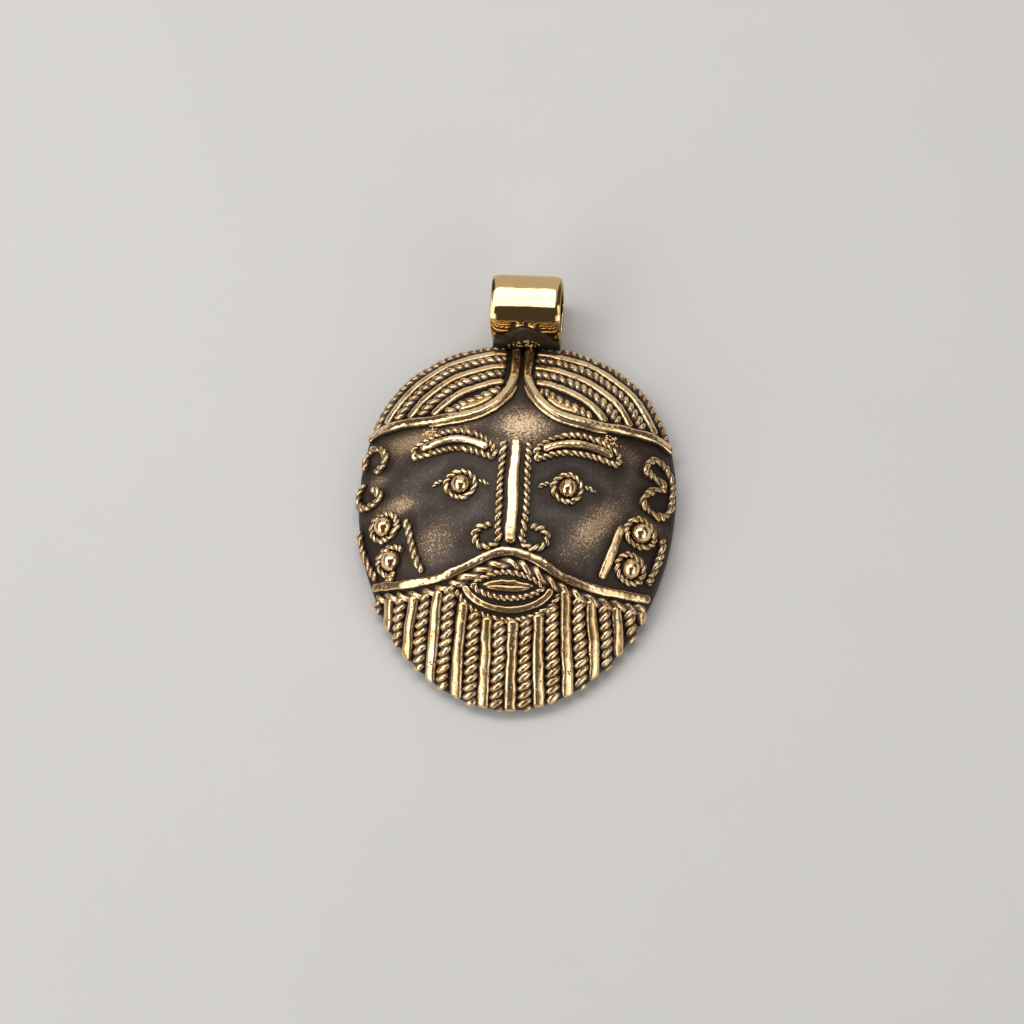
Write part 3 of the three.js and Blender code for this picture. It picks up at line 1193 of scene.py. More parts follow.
@dataclass(frozen=True)
class Moustache(MaskPiece):
    """The moustache: a bell-shaped plain band with a loosely twisted rope under it."""

    kind: ClassVar[str] = "moustache"
    level: float = -7.05
    peak: float = 2.75
    spread: float = 4.6
    end_rise: float = 0.45
    end_from: float = 12.7
    end: float = 12.6
    rope_drop: float = 1.06
    rope_share: float = 0.97
    band: Rod = Rod(0.84, tall=0.95, boxy=2.7, setting=Setting(lift=0.26, worn=0.22, polish=0.5))
    rope: Rope = Rope(1.14, 2.7, depth=0.9, setting=Setting(lift=0.12, worn=0.15))

    def height(self, x: Array) -> Array:
        """Gives the plain band's middle line."""
        bell = self.peak * np.exp(-(x / self.spread) ** 2)
        return self.level + bell + self.end_rise * (x / self.end_from) ** 4

    def lay(self, relief: Relief) -> None:
        """Lays the band and the rope.

        Args:
            relief: The draft that they go into.
        """
        x = np.linspace(-self.end, self.end, 160)
        relief.smooth(np.column_stack([x, self.height(x)]), self.band, seed=6)
        rope = np.column_stack([x * self.rope_share, self.height(x) - self.rope_drop])
        relief.twisted(rope, self.rope, seed=7)


@dataclass(frozen=True)
class Mouth(MaskPiece):
    """A closed, relaxed mouth in an almond ring, with two arcs under it.

    The upper lip's bow falls by lip_fall towards its ends and rises by peak at peak_x, with the
    half width peak_half. Each arc is half an ellipse, given by its half width and its height.
    """

    kind: ClassVar[str] = "mouth"
    y: float = -7.3
    half: float = 3.1
    tall: float = 1.12
    pointed: float = 0.3
    corner_gap: float = 0.75
    upper_lip: float = 0.2
    lower_lip: float = -0.3
    lower_share: float = 0.86
    lip_fall: float = 0.16
    peak: float = 0.09
    peak_x: float = 0.22
    peak_half: float = 0.16
    arc_y: float = -6.9
    plain_arc: Span = (3.95, 2.5)
    plain_turn: Span = (1.05, 1.95)
    twisted_arc: Span = (4.75, 3.42)
    twisted_turn: Span = (1.07, 1.93)
    ring_rope: Rope = Rope(0.62, 1.2)
    upper_rod: Rod = Rod(0.46, boxy=2.2, setting=Setting(end=0.9))
    lower_rod: Rod = Rod(0.56, boxy=2.2, setting=Setting(end=1.2))
    arc_rod: Rod = Rod(0.62)
    arc_rope: Rope = Rope(0.68, 1.3)

    def arc(self, half: Span, turn: Span) -> Array:
        """Gives an arc's route under the mouth."""
        return ellipse(0, self.arc_y, *half, *(math.pi * share for share in turn))

    def lay(self, relief: Relief) -> None:
        """Lays the ring, the lips and the arcs.

        Args:
            relief: The draft that they go into.
        """
        turn = np.linspace(0, TURN, 80, endpoint=False)
        almond = np.sin(turn) * np.abs(np.sin(turn)) ** self.pointed
        ring = np.column_stack([self.half * np.cos(turn), self.y + self.tall * almond])
        relief.twisted(ring, self.ring_rope, seed=70, closed=True)
        x = np.linspace(-1, 1, 50)
        width = self.half - self.corner_gap
        peaks = self.peak * np.exp(-((np.abs(x) - self.peak_x) / self.peak_half) ** 2)
        upper = self.y + (self.upper_lip - self.lip_fall * x ** 2 + peaks)
        relief.smooth(np.column_stack([x * width, upper]), self.upper_rod, seed=12)
        lower = self.y + self.lower_lip + self.lip_fall * x ** 2
        relief.smooth(np.column_stack([x * width * self.lower_share, lower]), self.lower_rod, seed=13)
        relief.smooth(self.arc(self.plain_arc, self.plain_turn), self.arc_rod, seed=14)
        relief.twisted(self.arc(self.twisted_arc, self.twisted_turn), self.arc_rope, seed=71)


@dataclass(frozen=True)
class Beard(MaskPiece):
    """The beard: plain and twisted strands by turns, from under the moustache down to the rim.

    Fan is how much the strands spread for each millimetre down, and tuck how far their tops reach
    under the rope or the arc above. Stubs is how many more strands lie beyond the first and the last.
    """

    kind: ClassVar[str] = "beard"
    moustache: Moustache
    mouth: Mouth
    strands: int = 20
    stubs: int = 1
    pitch: float = 1.14
    fan: float = 0.0125
    tuck: float = 0.1
    longest: float = 13.0
    last_level: float = 1.03
    strand_setting: ClassVar[Setting] = Setting(lift=0.12, rim_sink=0.2, worn=0.12, uneven=0.018,
                                                spread=(0.96, 1.1), end=0.4)
    rope: Rope = Rope(1.36, 1.64, depth=0.52, setting=strand_setting)
    plain: Rod = Rod(1.13, boxy=2.1, setting=strand_setting)

    def top(self, x: float) -> float:
        """Finds where a strand starts, tucked under the rope or the chin's arc.

        Args:
            x: The strand's x at its top.

        Returns:
            The y of its top.
        """
        under_rope = float(self.moustache.height(np.array(x))) - self.moustache.rope_drop + self.tuck
        half, tall = self.mouth.twisted_arc
        inside = 1 - (x / half) ** 2
        if inside <= 0:
            return under_rope
        return min(under_rope, self.mouth.arc_y - tall * math.sqrt(inside) + self.tuck)

    def strand_route(self, number: int) -> Array:
        """Finds one strand's route, down to the rim.

        Args:
            number: The strand's number, from the wearer's right.

        Returns:
            Its plan points.
        """
        x = (number - (self.strands - 1) / 2) * self.pitch
        drop = np.linspace(0, self.longest, 500)
        plan = np.column_stack([x * (1 + self.fan * drop), self.top(x) - drop])
        return plan[FORM.level(plan) < self.last_level]

    def lay(self, relief: Relief) -> None:
        """Lays the strands.

        Args:
            relief: The draft that they go into.
        """
        for number in range(-self.stubs, self.strands + self.stubs):
            route = self.strand_route(number)
            if number % 2:
                relief.twisted(route, self.rope, seed=40 + number)
            else:
                relief.smooth(route, self.plain, seed=40 + number)


@dataclass(frozen=True)
class Spatter(MaskPiece):
    """Rough little beads that the casting left above each brow."""

    kind: ClassVar[str] = "casting_beads"
    places: Route = ((-8.2, 7.45), (8.5, 7.35))
    spread: Span = (0.5, 0.31)
    beads: int = 26
    smallest: float = 0.07
    largest: float = 0.18

    def lay(self, relief: Relief) -> None:
        """Sets the beads.

        Args:
            relief: The draft that they go into.
        """
        draw = np.random.default_rng(81)
        for place_at in self.places:
            plan = np.array(place_at) + draw.normal(size=(self.beads, 2)) * self.spread
            feet, up = FORM.surface(plan), FORM.outward(plan)
            radii = draw.uniform(self.smallest, self.largest, self.beads)
            for foot, direction, radius in zip(feet, up, radii):
                relief.bead(foot, direction, float(radius))


@dataclass(frozen=True)
class Lug(MaskPiece):
    """The mound of solder and bronze between the crown and the bail, with rough beads at its foot.

    Front, brow and back are the y of its foot, of the front of its top and of its back. Flank is its
    height at its two ends, and crest the height in the middle. It is on top from top_at of its way.
    Its foot is sunk under the skin, and underside is the height of its flat bottom.
    """

    kind: ClassVar[str] = "lug"
    half_width: float = 3.2
    front: float = 17.75
    brow: float = 18.25
    back: float = 18.8
    flank: float = 2.7
    crest: float = 5.5
    crest_power: float = 1.5
    climb_power: float = 0.9
    top_at: float = 0.75
    sunk: float = 0.3
    underside: float = 0.5
    columns: int = 48
    rows: int = 40
    # Painted shade: the neck under the bail lies in shadow, so the lug is darkened evenly.
    neck_shade: float = 0.6
    beads: int = 36
    bead_sizes: Span = (0.05, 0.13)
    bead_rows: Span = (0.12, 0.3)
    bead_middle: float = -0.05
    bead_spread: float = 0.3

    def shape(self, u: Array, v: Array) -> Array:
        """Gives points of the mound.

        Args:
            u: The place across, from -1 to 1.
            v: The place from the foot, at 0, over the top to the back, at 1.

        Returns:
            The points, one row each.
        """
        crest = self.flank + (self.crest - self.flank) * np.cos(u * math.pi / 2) ** self.crest_power
        climb = np.clip(v / self.top_at, 0, 1) * math.pi / 2
        behind = np.clip(v - self.top_at, 0, 1) / (1 - self.top_at)
        x = self.half_width * u
        y = self.front + (self.brow - self.front) * (1 - np.cos(climb)) + behind * (self.back - self.brow)
        foot = FORM.rise(np.minimum(FORM.level(np.column_stack([x, y])), 1)) - self.sunk
        return np.column_stack([x, y, foot + (crest - foot) * np.sin(climb) ** self.climb_power])

    def lay(self, relief: Relief) -> None:
        """Adds the mound, as a closed shell, and the beads.

        Args:
            relief: The draft that they go into.
        """
        columns, rows = self.columns, self.rows
        grids = np.meshgrid(np.linspace(-1, 1, columns), np.linspace(0, 1, rows))
        top = LOOP.clear(self.shape(*(grid.ravel() for grid in grids)), gap=0.0)
        bottom = top.copy()
        bottom[:, 2] = self.underside
        count = rows * columns
        edge = np.concatenate([np.arange(columns), np.arange(1, rows) * columns + columns - 1,
                               (rows - 1) * columns + np.arange(columns - 2, -1, -1),
                               np.arange(rows - 2, 0, -1) * columns])
        beside = np.roll(edge, -1)
        faces = [grid_faces(rows, columns), grid_faces(rows, columns)[:, ::-1] + count,
                 np.column_stack([edge, edge + count, beside + count, beside])]
        relief.draft.add(np.vstack([top, bottom]), faces, np.zeros(2 * count))
        draw = np.random.default_rng(83)
        across = np.clip(draw.normal(self.bead_middle, self.bead_spread, self.beads), -0.9, 0.9)
        feet = self.shape(across, draw.uniform(*self.bead_rows, self.beads))
        # The beads are painted lighter on the side turned to the camera and darker behind: painted light
        # and shade.
        lit_side = np.array([0, -0.5, 0.866])
        for foot, radius in zip(feet, draw.uniform(*self.bead_sizes, self.beads)):
            relief.bead(foot, lit_side, float(radius), polish=0.9)

    def build(self, shop: Shop) -> bpy.types.Object:
        """Builds the lug, dresses it and darkens it evenly with painted shade, as the neck under the bail
        lies in shadow.

        Args:
            shop: The finishes, and where the wires lie.

        Returns:
            The finished piece.
        """
        piece = super().build(shop)
        give_values(piece.data, "shelter", np.full(len(piece.data.vertices), self.neck_shade))
        return piece


@dataclass(frozen=True)
class Patch:
    """A patch of the plate made lighter and flecked with bare bronze: rubbed wear, and in one place a
    painted sheen.

    It has a middle, a half length and a half width, a slant in degrees, and the strength of its rub.
    """

    x: float
    y: float
    long: float
    short: float
    slant: float = 0.0
    strength: float = 1.0
    fall: ClassVar[float] = 1.2

    def strength_at(self, points: Array) -> Array:
        """Gives how strongly the patch rubs points of the plate.

        Args:
            points: The points.

        Returns:
            The strength of the rub at each.
        """
        c, s = math.cos(math.radians(self.slant)), math.sin(math.radians(self.slant))
        x, y = points[:, 0] - self.x, points[:, 1] - self.y
        along, across = (x * c + y * s) / self.long, (y * c - x * s) / self.short
        return self.strength * np.exp(-(along ** 2 + across ** 2) ** self.fall)


@dataclass(frozen=True)
class FacePlate:
    """The cast shell that carries the relief, hollow at the back, with a rounded rim.

    The rim's profile is given as level and height, from the front's edge round to the hollow, and
    its first rings, front_rim of them, belong to the front. The front is darkened beside wires up to
    shade_reach, as patina and painted shade, and the back is evenly darker by back_shelter.
    """

    spokes: int = 300
    front_rings: int = 110
    front_levels: Span = (0.006, 0.982)
    rim: Route = ((0.992, 1.29), (0.998, 1.14), (1.0, 0.98), (1.0, 0.6), (1.0, 0.2), (0.997, 0.06),
                  (0.99, 0.0), (0.945, 0.0), (0.9, 0.0), (0.893, 0.08))
    front_rim: int = 2
    back_rings: int = 34
    back_levels: Span = (0.87, 0.02)
    waviness: float = 0.6
    shade_reach: float = 1.15
    back_shelter: float = 0.75
    rubbed: tuple[Patch, ...] = (
        Patch(0.6, 8.0, 2.5, 2.0),
        Patch(-9.7, 6.7, 3.2, 1.2, 4),
        # This patch is a painted sheen on the plate rather than a rub.
        Patch(-5.2, 7.9, 2.6, 0.9, 12, 0.5),
        Patch(-11.0, 0.35, 2.0, 0.9, 10),
        Patch(-12.9, 3.3, 1.0, 0.7, 0, 0.8),
        Patch(-7.1, -3.4, 2.2, 1.7, 30, 0.5),
        Patch(7.6, -1.4, 3.4, 1.25, 51, 0.85),
        Patch(12.5, 0.1, 1.5, 0.7, -15, 0.6),
        Patch(9.9, 6.4, 2.0, 1.0, -10, 0.4),
        Patch(-2.2, 6.1, 2.6, 0.7, 0, 0.5),
    )

    def layers(self) -> list[Array]:
        """Gives the shell's rings of points.

        Returns:
            The rings, from the middle of the front round the rim to the middle of the back.
        """
        turn, every = np.arange(self.spokes) * TURN / self.spokes, np.ones(self.spokes)
        made = [FORM.surface(FORM.plan(turn, every * share))
                for share in np.linspace(*self.front_levels, self.front_rings)]
        hollow = [(share, FORM.rise(share) - FORM.wall)
                  for share in np.linspace(*self.back_levels, self.back_rings)]
        for share, height in (*self.rim, *hollow):
            made.append(np.column_stack([FORM.plan(turn, every * share), every * height]))
        return made

    def build(self, shop: Shop) -> bpy.types.Object:
        """Builds the shell and dresses it.

        Args:
            shop: The finishes, and where the wires lie.

        Returns:
            The finished shell, with how darkly shaded and how rubbed each point is.
        """
        layers = self.layers()
        count, spokes = len(layers), self.spokes
        crown = FORM.surface(np.array([[0, FORM.widest_at]]))
        points = np.vstack(layers + [crown, [[0, FORM.widest_at, FORM.height - FORM.wall]]])
        faces = [grid_faces(count, spokes, wrap_columns=True)[:, ::-1],
                 fan_faces(np.arange(spokes), count * spokes),
                 fan_faces(np.arange(spokes) + (count - 1) * spokes, count * spokes + 1, flip=True)]
        front = np.zeros(len(points), bool)
        front[: spokes * (self.front_rings + self.front_rim)] = True
        front[-2] = True
        draft = Draft()
        draft.add(LOOP.clear(points), faces, np.zeros(len(points)))
        piece = draft.build("face_plate", self.waviness)
        # Beside the wires the front is darkened, as patina and painted shade; the back is evenly darker.
        shelter = np.where(front, shop.contacts.shelter(points, self.shade_reach), self.back_shelter)
        rub = np.max([patch.strength_at(points) for patch in self.rubbed], axis=0)
        give_values(piece.data, "shelter", shelter)
        give_values(piece.data, "rub", np.where(front, rub, 0.0))
        place(piece, MASK_NODE, shop.bronze)
        return piece


@dataclass(frozen=True)
class Bail:
    """The polished band loop, a little crowned, with crisp bevelled edges.

    Across is how many points its outer face has from edge to edge. Each bevel is a quarter of a
    circle, with points at the turns that are given.
    """

    loop: BailLoop = LOOP
    crown: float = 0.27
    crown_power: float = 9.0
    bevel: float = 0.12
    outer_turns: tuple[float, ...] = (0.45, 0.785, 1.15)
    inner_turns: tuple[float, ...] = (0.4, 0.785, 1.17)
    across: int = 61
    around: int = 200
    waviness: float = 0.18

    def crowned(self, x: Array) -> Array:
        """Gives how far the outer face falls away towards its two edges."""
        return self.crown * np.abs(x / self.loop.half_width) ** self.crown_power

    def section(self) -> Array:
        """Gives the band's section, as x and the depth under the outer face.

        Returns:
            The section's points, all the way round.
        """
        wide, wall, small = self.loop.half_width, self.loop.wall, self.bevel
        across = (wide - small) * np.sin(np.linspace(-1, 1, self.across) * math.pi / 2)
        outer = np.column_stack([across, self.crowned(across)])
        low = float(self.crowned(np.array(wide - small)))
        right = [(wide - small * (1 - math.sin(a)), low + small * (1 - math.cos(a)))
                 for a in self.outer_turns]
        right += [(wide, low + small), (wide, wall - small)]
        right += [(wide - small * (1 - math.cos(a)), wall - small * (1 - math.sin(a)))
                  for a in self.inner_turns]
        left = [(-x, depth) for x, depth in reversed(right)]
        inner = across[::-2]
        return np.vstack([outer, right, np.column_stack([inner, np.full(len(inner), wall)]), left])

    def build(self, shop: Shop) -> bpy.types.Object:
        """Builds the bail and dresses it.

        Args:
            shop: The finishes.

        Returns:
            The finished bail.
        """
        section = self.section()
        turn = np.linspace(0, TURN, self.around, endpoint=False)
        rings = [np.column_stack([np.full(self.around, x), self.loop.ring(turn, depth)])
                 for x, depth in section]
        faces = grid_faces(len(section), self.around, wrap_rows=True, wrap_columns=True)
        draft = Draft()
        draft.add(np.vstack(rings), [faces], np.ones(len(section) * self.around))
        piece = draft.build("bail_band", self.waviness)
        place(piece, BAIL_NODE, shop.polish)
        return piece


# Finishes


class Bench:
    """Adds and joins the nodes of one material or node group."""

    def __init__(self, tree: bpy.types.NodeTree) -> None:
        """Starts with an empty tree."""
        tree.nodes.clear()
        self.tree = tree

    def add(self, kind: str, inputs: dict[int | str, Any] | None = None,
            **settings: Any) -> bpy.types.Node:
        """Adds a node.

        Args:
            kind: The node's type.
            inputs: The value or the socket that goes into each input.
            settings: The node's own settings.

        Returns:
            The node.
        """
        node = self.tree.nodes.new(kind)
        for name, value in settings.items():
            setattr(node, name, value)
        for name, value in (inputs or {}).items():
            self.feed(node.inputs[name], value)
        return node

    def feed(self, socket: bpy.types.NodeSocket, value: Any) -> None:
        """Links a socket into an input, or sets the input's value.

        Args:
            socket: The input.
            value: The socket or the value that goes into it.
        """
        if isinstance(value, bpy.types.NodeSocket):
            self.tree.links.new(value, socket)
        else:
            socket.default_value = value

    def math(self, operation: str, a: Any, b: Any = 0.0, clamp: bool = False) -> bpy.types.NodeSocket:
        """Adds a math node and gives its result."""
        return self.add("ShaderNodeMath", {0: a, 1: b}, operation=operation, use_clamp=clamp).outputs[0]

    def weigh(self, first: Any, *terms: tuple[Any, float]) -> bpy.types.NodeSocket:
        """Adds weighted terms to a first value.

        Args:
            first: The first value.
            terms: Each further value with its weight.

        Returns:
            The sum.
        """
        total = first
        for value, weight in terms:
            inputs = {0: value, 1: weight, 2: total}
            total = self.add("ShaderNodeMath", inputs, operation="MULTIPLY_ADD").outputs[0]
        return total

    def ramp(self, value: Any, low: float, high: float,
             to_low: float = 0.0, to_high: float = 1.0) -> bpy.types.NodeSocket:
        """Adds a smooth step from one value to another and gives its result."""
        inputs = {"Value": value, "From Min": low, "From Max": high, "To Min": to_low, "To Max": to_high}
        return self.add("ShaderNodeMapRange", inputs, interpolation_type="SMOOTHSTEP").outputs[0]

    def blend(self, share: Any, a: Any, b: Any) -> bpy.types.NodeSocket:
        """Mixes two colours and gives the result."""
        return self.add("ShaderNodeMix", {0: share, 6: a, 7: b}, data_type="RGBA").outputs[2]

    def noise(self, place_at: Any, scale: Any, detail: float = 2.0,
              rough: float = 0.5) -> bpy.types.NodeSocket:
        """Adds a noise and gives its value."""
        inputs = {"Vector": place_at, "Scale": scale, "Detail": detail, "Roughness": rough}
        return self.add("ShaderNodeTexNoise", inputs).outputs[0]

    def bump(self, height: Any, strength: Any, distance: float) -> bpy.types.NodeSocket:
        """Adds a bump, with its distance in millimetres, and gives the bent normal."""
        inputs = {"Height": height, "Strength": strength, "Distance": distance * MM}
        return self.add("ShaderNodeBump", inputs).outputs[0]

    def principled(self, inputs: dict[str, Any]) -> None:
        """Adds a material's shader and joins it to the output."""
        shader = self.add("ShaderNodeBsdfPrincipled", inputs)
        self.add("ShaderNodeOutputMaterial", {"Surface": shader.outputs[0]})

    def millimetres(self) -> bpy.types.NodeSocket:
        """Gives the place on the piece, in millimetres."""
        inputs = {0: self.add("ShaderNodeTexCoord").outputs["Object"], "Scale": 1 / MM}
        return self.add("ShaderNodeVectorMath", inputs, operation="SCALE").outputs[0]

    def attribute(self, name: str) -> bpy.types.NodeSocket:
        """Reads one of the mesh's own values."""
        return self.add("ShaderNodeAttribute", attribute_name=name).outputs["Fac"]


def new_group(name: str, takes: dict[str, float], gives: Sequence[str]) -> tuple[Bench, Any, Any]:
    """Starts a shader node group.

    Args:
        name: The group's name.
        takes: Its inputs, all numbers, with their usual values.
        gives: Its outputs, all numbers.

    Returns:
        The group's bench, its input node and its output node.
    """
    tree = bpy.data.node_groups.new(name, "ShaderNodeTree")
    number = "NodeSocketFloat"
    for label, usual in takes.items():
        socket = tree.interface.new_socket(label, in_out="INPUT", socket_type=number)
        socket.default_value = usual
    for label in gives:
        tree.interface.new_socket(label, in_out="OUTPUT", socket_type=number)
    bench = Bench(tree)
    return bench, bench.add("NodeGroupInput"), bench.add("NodeGroupOutput")


def new_material(name: str) -> tuple[bpy.types.Material, Bench]:
    """Starts a material.

    Args:
        name: The material's name.

    Returns:
        The material and its bench.
    """
    material = bpy.data.materials.new(name)
    material.use_nodes = True
    return material, Bench(material.node_tree)


class CastSkin:
    """The grain of a cast surface: soft clouds, fine speckles, and the height of pits and lumps.

    Its constants are the scale of the lumps, of the cells that pits are made of, and of the clouds
    that keep the pits to a few places, all as waves to the millimetre.
    """

    name = "cast_skin"
    lump_scale = 1.7
    cell_scale = 2.9
    rare_scale = 0.8

    @classmethod
    def group(cls) -> bpy.types.NodeTree:
        """Gives the node group, and builds it the first time.

        Returns:
            The group's tree.
        """
        if cls.name in bpy.data.node_groups:
            return bpy.data.node_groups[cls.name]
        takes = {"Cloud Scale": 0.4, "Speckle Scale": 7.0, "Grain": 0.3, "Pitting": 0.5, "Lumps": 0.5}
        bench, given, made = new_group(cls.name, takes, ("Cloud", "Speckle", "Pit", "Height"))
        place_at = bench.millimetres()
        cloud = bench.noise(place_at, given.outputs["Cloud Scale"], 4.0, 0.6)
        speckle = bench.noise(place_at, given.outputs["Speckle Scale"], 3.0, 0.65)
        lumps = bench.noise(place_at, cls.lump_scale)
        cell_inputs = {"Vector": place_at, "Scale": cls.cell_scale, "Randomness": 1.0}
        cells = bench.add("ShaderNodeTexVoronoi", cell_inputs)
        hole = bench.ramp(cells.outputs["Distance"], 0.1, 0.3, 1.0, 0.0)
        rare = bench.ramp(bench.noise(place_at, cls.rare_scale, 1.0), 0.5, 0.6)
        pit = bench.math("MULTIPLY", hole, bench.math("MULTIPLY", rare, given.outputs["Pitting"]))
        grain = bench.math("MULTIPLY", speckle, given.outputs["Grain"])
        swell = bench.math("MULTIPLY", lumps, given.outputs["Lumps"])
        height = bench.math("SUBTRACT", bench.math("ADD", grain, swell), pit)
        for name, value in (("Cloud", cloud), ("Speckle", speckle), ("Pit", pit), ("Height", height)):
            bench.feed(made.inputs[name], value)
        return bench.tree

    @classmethod
    def use(cls, bench: Bench, **values: float) -> bpy.types.Node:
        """Places the group in a material.

        Args:
            bench: The material's bench.
            values: Values for the group's inputs, with _ for a space.

        Returns:
            The group's node.
        """
        node = bench.add("ShaderNodeGroup", node_tree=cls.group())
        for name, value in values.items():
            node.inputs[name.replace("_", " ").title()].default_value = value
        return node


@dataclass(frozen=True)
class PatinatedBronze:
    """Cast bronze with a dark patina in the grooves, rubbed bright on the relief, and painted shade in the
    grooves and beside the wires.

    Wires are bright where the mesh's relief is high, and dark low on their sides and in their grooves,
    as patina and painted shade. The plate is bright in fine specks where its rub is high, and darkest
    beside a wire, as patina and painted shade. Wire_bright and specks_bright are the spans over which
    these turn bright, and rough is the roughness of the patina and of the bare bronze.
    """

    bright: Colour = (0.96, 0.70, 0.40, 1)
    bright_warm: Colour = (0.80, 0.50, 0.22, 1)
    dark: Colour = (0.032, 0.018, 0.009, 1)
    plate: Colour = (0.080, 0.062, 0.054, 1)
    plate_warm: Colour = (0.21, 0.135, 0.080, 1)
    rubbed: Colour = (0.80, 0.58, 0.36, 1)
    wire_bright: Span = (0.96, 1.5)
    specks_bright: Span = (2.45, 3.25)
    brightest_specks: float = 0.9
    rough: Span = (0.45, 0.21)
    bump_strength: Span = (0.55, 0.12)

    def material(self) -> bpy.types.Material:
        """Builds the finish.

        Returns:
            The material.
        """
        material, bench = new_material(Slot.MASK.value)
        skin = CastSkin.use(bench, cloud_scale=0.42, speckle_scale=6.5, grain=0.16, pitting=0.9, lumps=0.55)
        cloud, speckle, pit, height = (skin.outputs[k] for k in ("Cloud", "Speckle", "Pit", "Height"))
        relief, polish = bench.attribute("relief"), bench.attribute("polish")
        rub, shelter = bench.attribute("rub"), bench.attribute("shelter")
        # A low relief tone keeps a wire dark on its low sides and in its grooves, as patina and painted
        # shade; the tops are rubbed bright.
        worn = bench.weigh(relief, (cloud, 0.3), (speckle, 0.9), (pit, -0.7))
        wire = bench.ramp(worn, *self.wire_bright)
        specks = bench.weigh(rub, (cloud, 0.6), (speckle, 3.6), (shelter, -0.2))
        plate = bench.ramp(specks, *self.specks_bright, 0.0, self.brightest_specks)
        bright = bench.math("MAXIMUM", wire, plate)
        # Beside the wires the plate turns towards the near-black patina colour: patina and painted shade.
        undarkened = bench.math("SUBTRACT", 1.0, shelter)
        open_plate = bench.math("MULTIPLY", undarkened, bench.ramp(cloud, 0.25, 0.65))
        patina = bench.blend(open_plate, self.dark, self.plate)
        # Where rubbed, the patina turns lighter and warmer: wear, and a painted sheen at the patch that
        # stands for one.
        patina = bench.blend(bench.math("MULTIPLY", rub, 0.8, clamp=True), patina, self.plate_warm)
        # Polish turns the gold lighter as well as smoother: partly a painted highlight.
        clear = bench.weigh(bench.ramp(cloud, 0.3, 0.6), (polish, 1.0))
        gold = bench.blend(clear, self.bright_warm, self.bright)
        gold = bench.blend(bench.math("GREATER_THAN", plate, wire), gold, self.rubbed)
        rough = bench.ramp(wire, 0.0, 1.0, *self.rough)
        bench.principled({
            "Base Color": bench.blend(bright, patina, gold),
            "Metallic": bench.ramp(bright, 0.0, 0.7, 0.35, 1.0),
            "Roughness": bench.weigh(rough, (speckle, 0.08), (polish, -0.09)),
            "Normal": bench.bump(height, bench.ramp(polish, 0.0, 1.0, *self.bump_strength), 0.08),
        })
        return material


@dataclass(frozen=True)
class PolishedBronze:
    """Yellow bronze with a mirror polish, faintly clouded and pitted."""

    colour: Colour = (0.80, 0.58, 0.30, 1)
    deeper: Colour = (0.72, 0.49, 0.22, 1)
    rough: Span = (0.06, 0.11)

    def material(self) -> bpy.types.Material:
        """Builds the finish.

        Returns:
            The material.
        """
        material, bench = new_material(Slot.BAIL.value)
        skin = CastSkin.use(bench, cloud_scale=0.5, speckle_scale=4.0, grain=0.05, pitting=0.1, lumps=0.08)
        cloud = skin.outputs["Cloud"]
        bench.principled({
            "Base Color": bench.blend(cloud, self.deeper, self.colour),
            "Metallic": 1.0,
            "Roughness": bench.ramp(cloud, 0.3, 0.7, *self.rough),
            "Normal": bench.bump(skin.outputs["Height"], 0.08, 0.03),
        })
        return material


@dataclass(frozen=True)
class StudioFloor:
    """A pale matt floor with a faint mottle."""

    pale: Colour = (0.70, 0.69, 0.675, 1)
    paler: Colour = (0.74, 0.73, 0.715, 1)
    rough: Span = (0.62, 0.72)

    def material(self) -> bpy.types.Material:
        """Builds the finish.

        Returns:
            The material.
        """
        material, bench = new_material("studio_floor")
        skin = CastSkin.use(bench, cloud_scale=0.03, speckle_scale=0.8, grain=0.3, pitting=0.0, lumps=0.1)
        bench.principled({
            "Base Color": bench.blend(skin.outputs["Cloud"], self.pale, self.paler),
            "Roughness": bench.ramp(skin.outputs["Speckle"], 0.2, 0.8, *self.rough),
            "Normal": bench.bump(skin.outputs["Height"], 0.1, 0.1),
        })
        return material


# The studio


@dataclass(frozen=True)
class SoftLight:
    """A white soft box, placed by its direction from the pendant.

    Its lean is the angle from straight up, and its heading the compass angle that it leans to,
    with 0 towards the bail and 90 towards the wearer's left. Its length runs the pendant's way.
    """

    name: str
    lean: float
    heading: float
    distance: float
    width: float
    length: float
    radiance: float

    def build(self) -> None:
        """Hangs the light."""
        light = bpy.data.lights.new(self.name, "AREA")
        light.shape = "RECTANGLE"
        light.size, light.size_y = self.width, self.length
        light.energy = self.radiance * math.pi * self.width * self.length
        lean, heading = math.radians(self.lean), math.radians(self.heading)
        sideways = math.sin(lean)
        away = Vector((sideways * math.sin(heading), sideways * math.cos(heading), math.cos(lean)))
        across = (Vector((1, 0, 0)) - away * away.x).normalized()
        turned = Matrix((across, away.cross(across), away)).transposed().to_4x4()
        lamp = add_object(self.name, light)
        lamp.matrix_world = Matrix.Translation(away * self.distance) @ turned


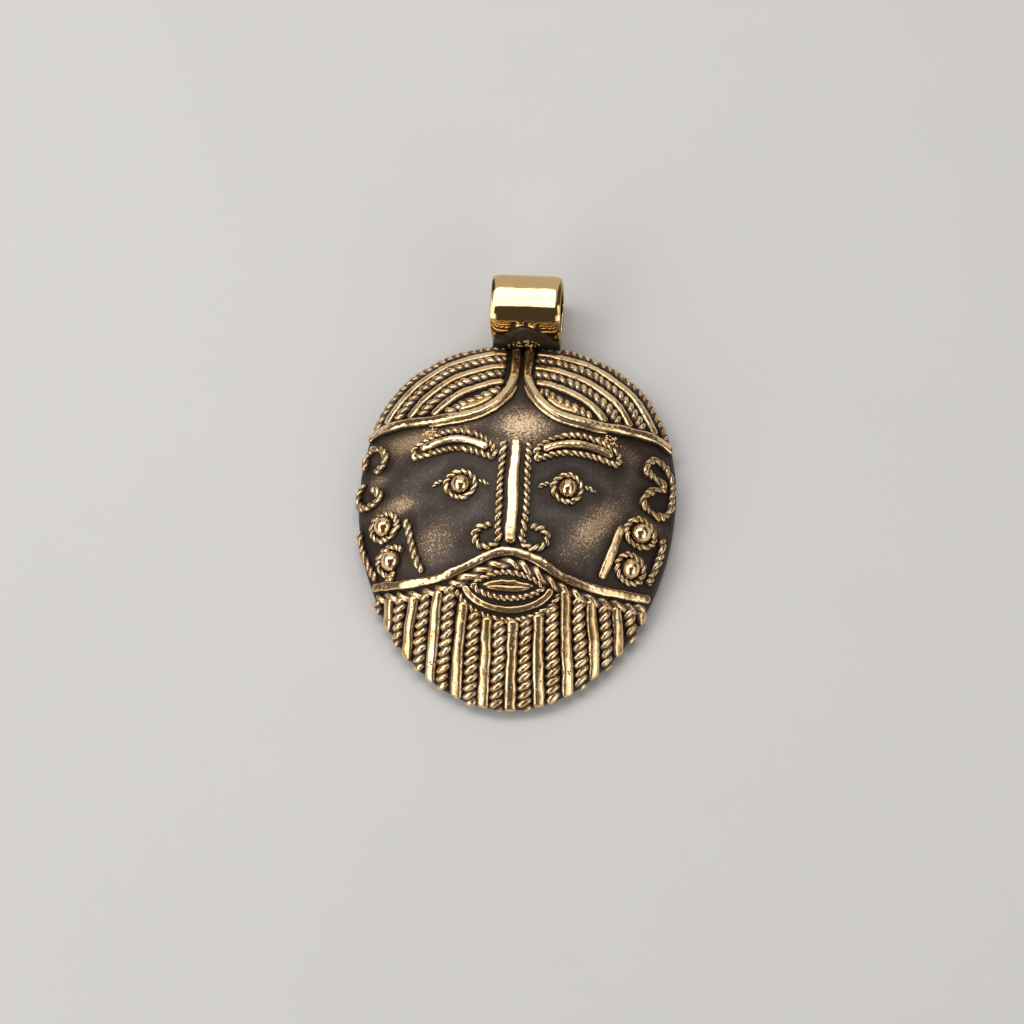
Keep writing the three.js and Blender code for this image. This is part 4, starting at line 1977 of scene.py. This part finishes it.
@dataclass(frozen=True)
class Studio:
    """The floor, the lights and the camera.

    The camera's yaw, tilt and roll are in degrees. The pendant's aim lands on aim_pixel of a square
    picture that is image pixels wide.
    """

    floor_size: float = 1.6
    floor_points: int = 9
    yaw: float = 4.0
    tilt: float = 20.0
    roll: float = 3.7
    distance: float = 0.263
    lens: float = 100.0
    sensor: float = 36.0
    clip: Span = (0.01, 10.0)
    aim: tuple[float, float, float] = (0.0, PLAN_Y * MM, 3 * MM)
    aim_pixel: Span = (514.3, 521.0)
    image: int = 1024
    transform: str = "Standard"
    room: Colour = (1.0, 0.84, 0.68, 1)
    room_strength: float = 0.075
    lights: tuple[SoftLight, ...] = (
        SoftLight("key", 23, -30, 0.42, 0.42, 0.17, 3.1),
        SoftLight("left_box", 52, -110, 0.44, 0.24, 0.75, 1.9),
        SoftLight("right_box", 58, 112, 0.46, 0.18, 0.75, 1.25),
        SoftLight("back_fill", 58, 0, 0.6, 0.7, 0.75, 0.55),
        SoftLight("front_left", 66, -142, 0.5, 0.24, 0.36, 1.0),
        SoftLight("front_right", 66, 142, 0.5, 0.24, 0.36, 1.0),
    )

    def build_floor(self) -> None:
        """Builds the floor."""
        side = np.linspace(-self.floor_size / 2, self.floor_size / 2, self.floor_points)
        x, y = np.meshgrid(side, side)
        points = np.column_stack([x.ravel(), y.ravel(), np.zeros(x.size)])
        mesh = bpy.data.meshes.new("floor")
        mesh.from_pydata(points.tolist(), [], grid_faces(self.floor_points, self.floor_points).tolist())
        mesh.materials.append(StudioFloor().material())
        add_object("floor", mesh)

    def build_world(self) -> None:
        """Sets the dim, even light of the room."""
        world = bpy.data.worlds.new("room")
        world.use_nodes = True
        bench = Bench(world.node_tree)
        shade = bench.add("ShaderNodeBackground", {"Color": self.room, "Strength": self.room_strength})
        bench.add("ShaderNodeOutputWorld", {"Surface": shade.outputs[0]})
        bpy.context.scene.world = world

    def build_camera(self) -> None:
        """Sets the camera at the photograph's viewing angle."""
        yaw, tilt, roll = (math.radians(angle) for angle in (self.yaw, self.tilt, self.roll))
        back = Vector((math.sin(yaw) * math.cos(tilt), -math.sin(tilt), math.cos(yaw) * math.cos(tilt)))
        level = (Vector((0, 1, 0)) - back * back.y).normalized()
        beside = level.cross(back)
        up = level * math.cos(roll) - beside * math.sin(roll)
        right = beside * math.cos(roll) + level * math.sin(roll)
        camera = bpy.data.cameras.new("camera")
        camera.lens, camera.sensor_width = self.lens, self.sensor
        camera.clip_start, camera.clip_end = self.clip
        pixel = self.distance * self.sensor / self.lens / self.image
        across, down = ((at - self.image / 2) * pixel for at in self.aim_pixel)
        place_at = Vector(self.aim) + back * self.distance - right * across + up * down
        turned = Matrix((right, up, back)).transposed().to_4x4()
        holder = add_object("camera", camera)
        holder.matrix_world = Matrix.Translation(place_at) @ turned
        bpy.context.scene.camera = holder

    def build(self) -> None:
        """Builds the studio."""
        bpy.context.scene.view_settings.view_transform = self.transform
        self.build_floor()
        self.build_world()
        self.build_camera()
        for light in self.lights:
            light.build()


def main() -> None:
    """Builds the pendant and its studio, piece by piece."""
    logging.basicConfig(level=logging.INFO, format="%(message)s")
    Studio().build()
    shop = Shop(PatinatedBronze().material(), PolishedBronze().material(), Contacts())
    for side in Side:
        for kind in (HairLobe, Brow, Eye, Ear, CheekOrnament.on):
            kind(side).build(shop)
    moustache, mouth = Moustache(), Mouth()
    middle_pieces = (Nose(), moustache, mouth, Beard(moustache, mouth), Spatter(), Lug())
    # The plate comes after the wires, because it is darker beside them: patina and painted shade.
    for piece in (*middle_pieces, FacePlate(), Bail()):
        piece.build(shop)


if __name__ == "__main__":
    main()
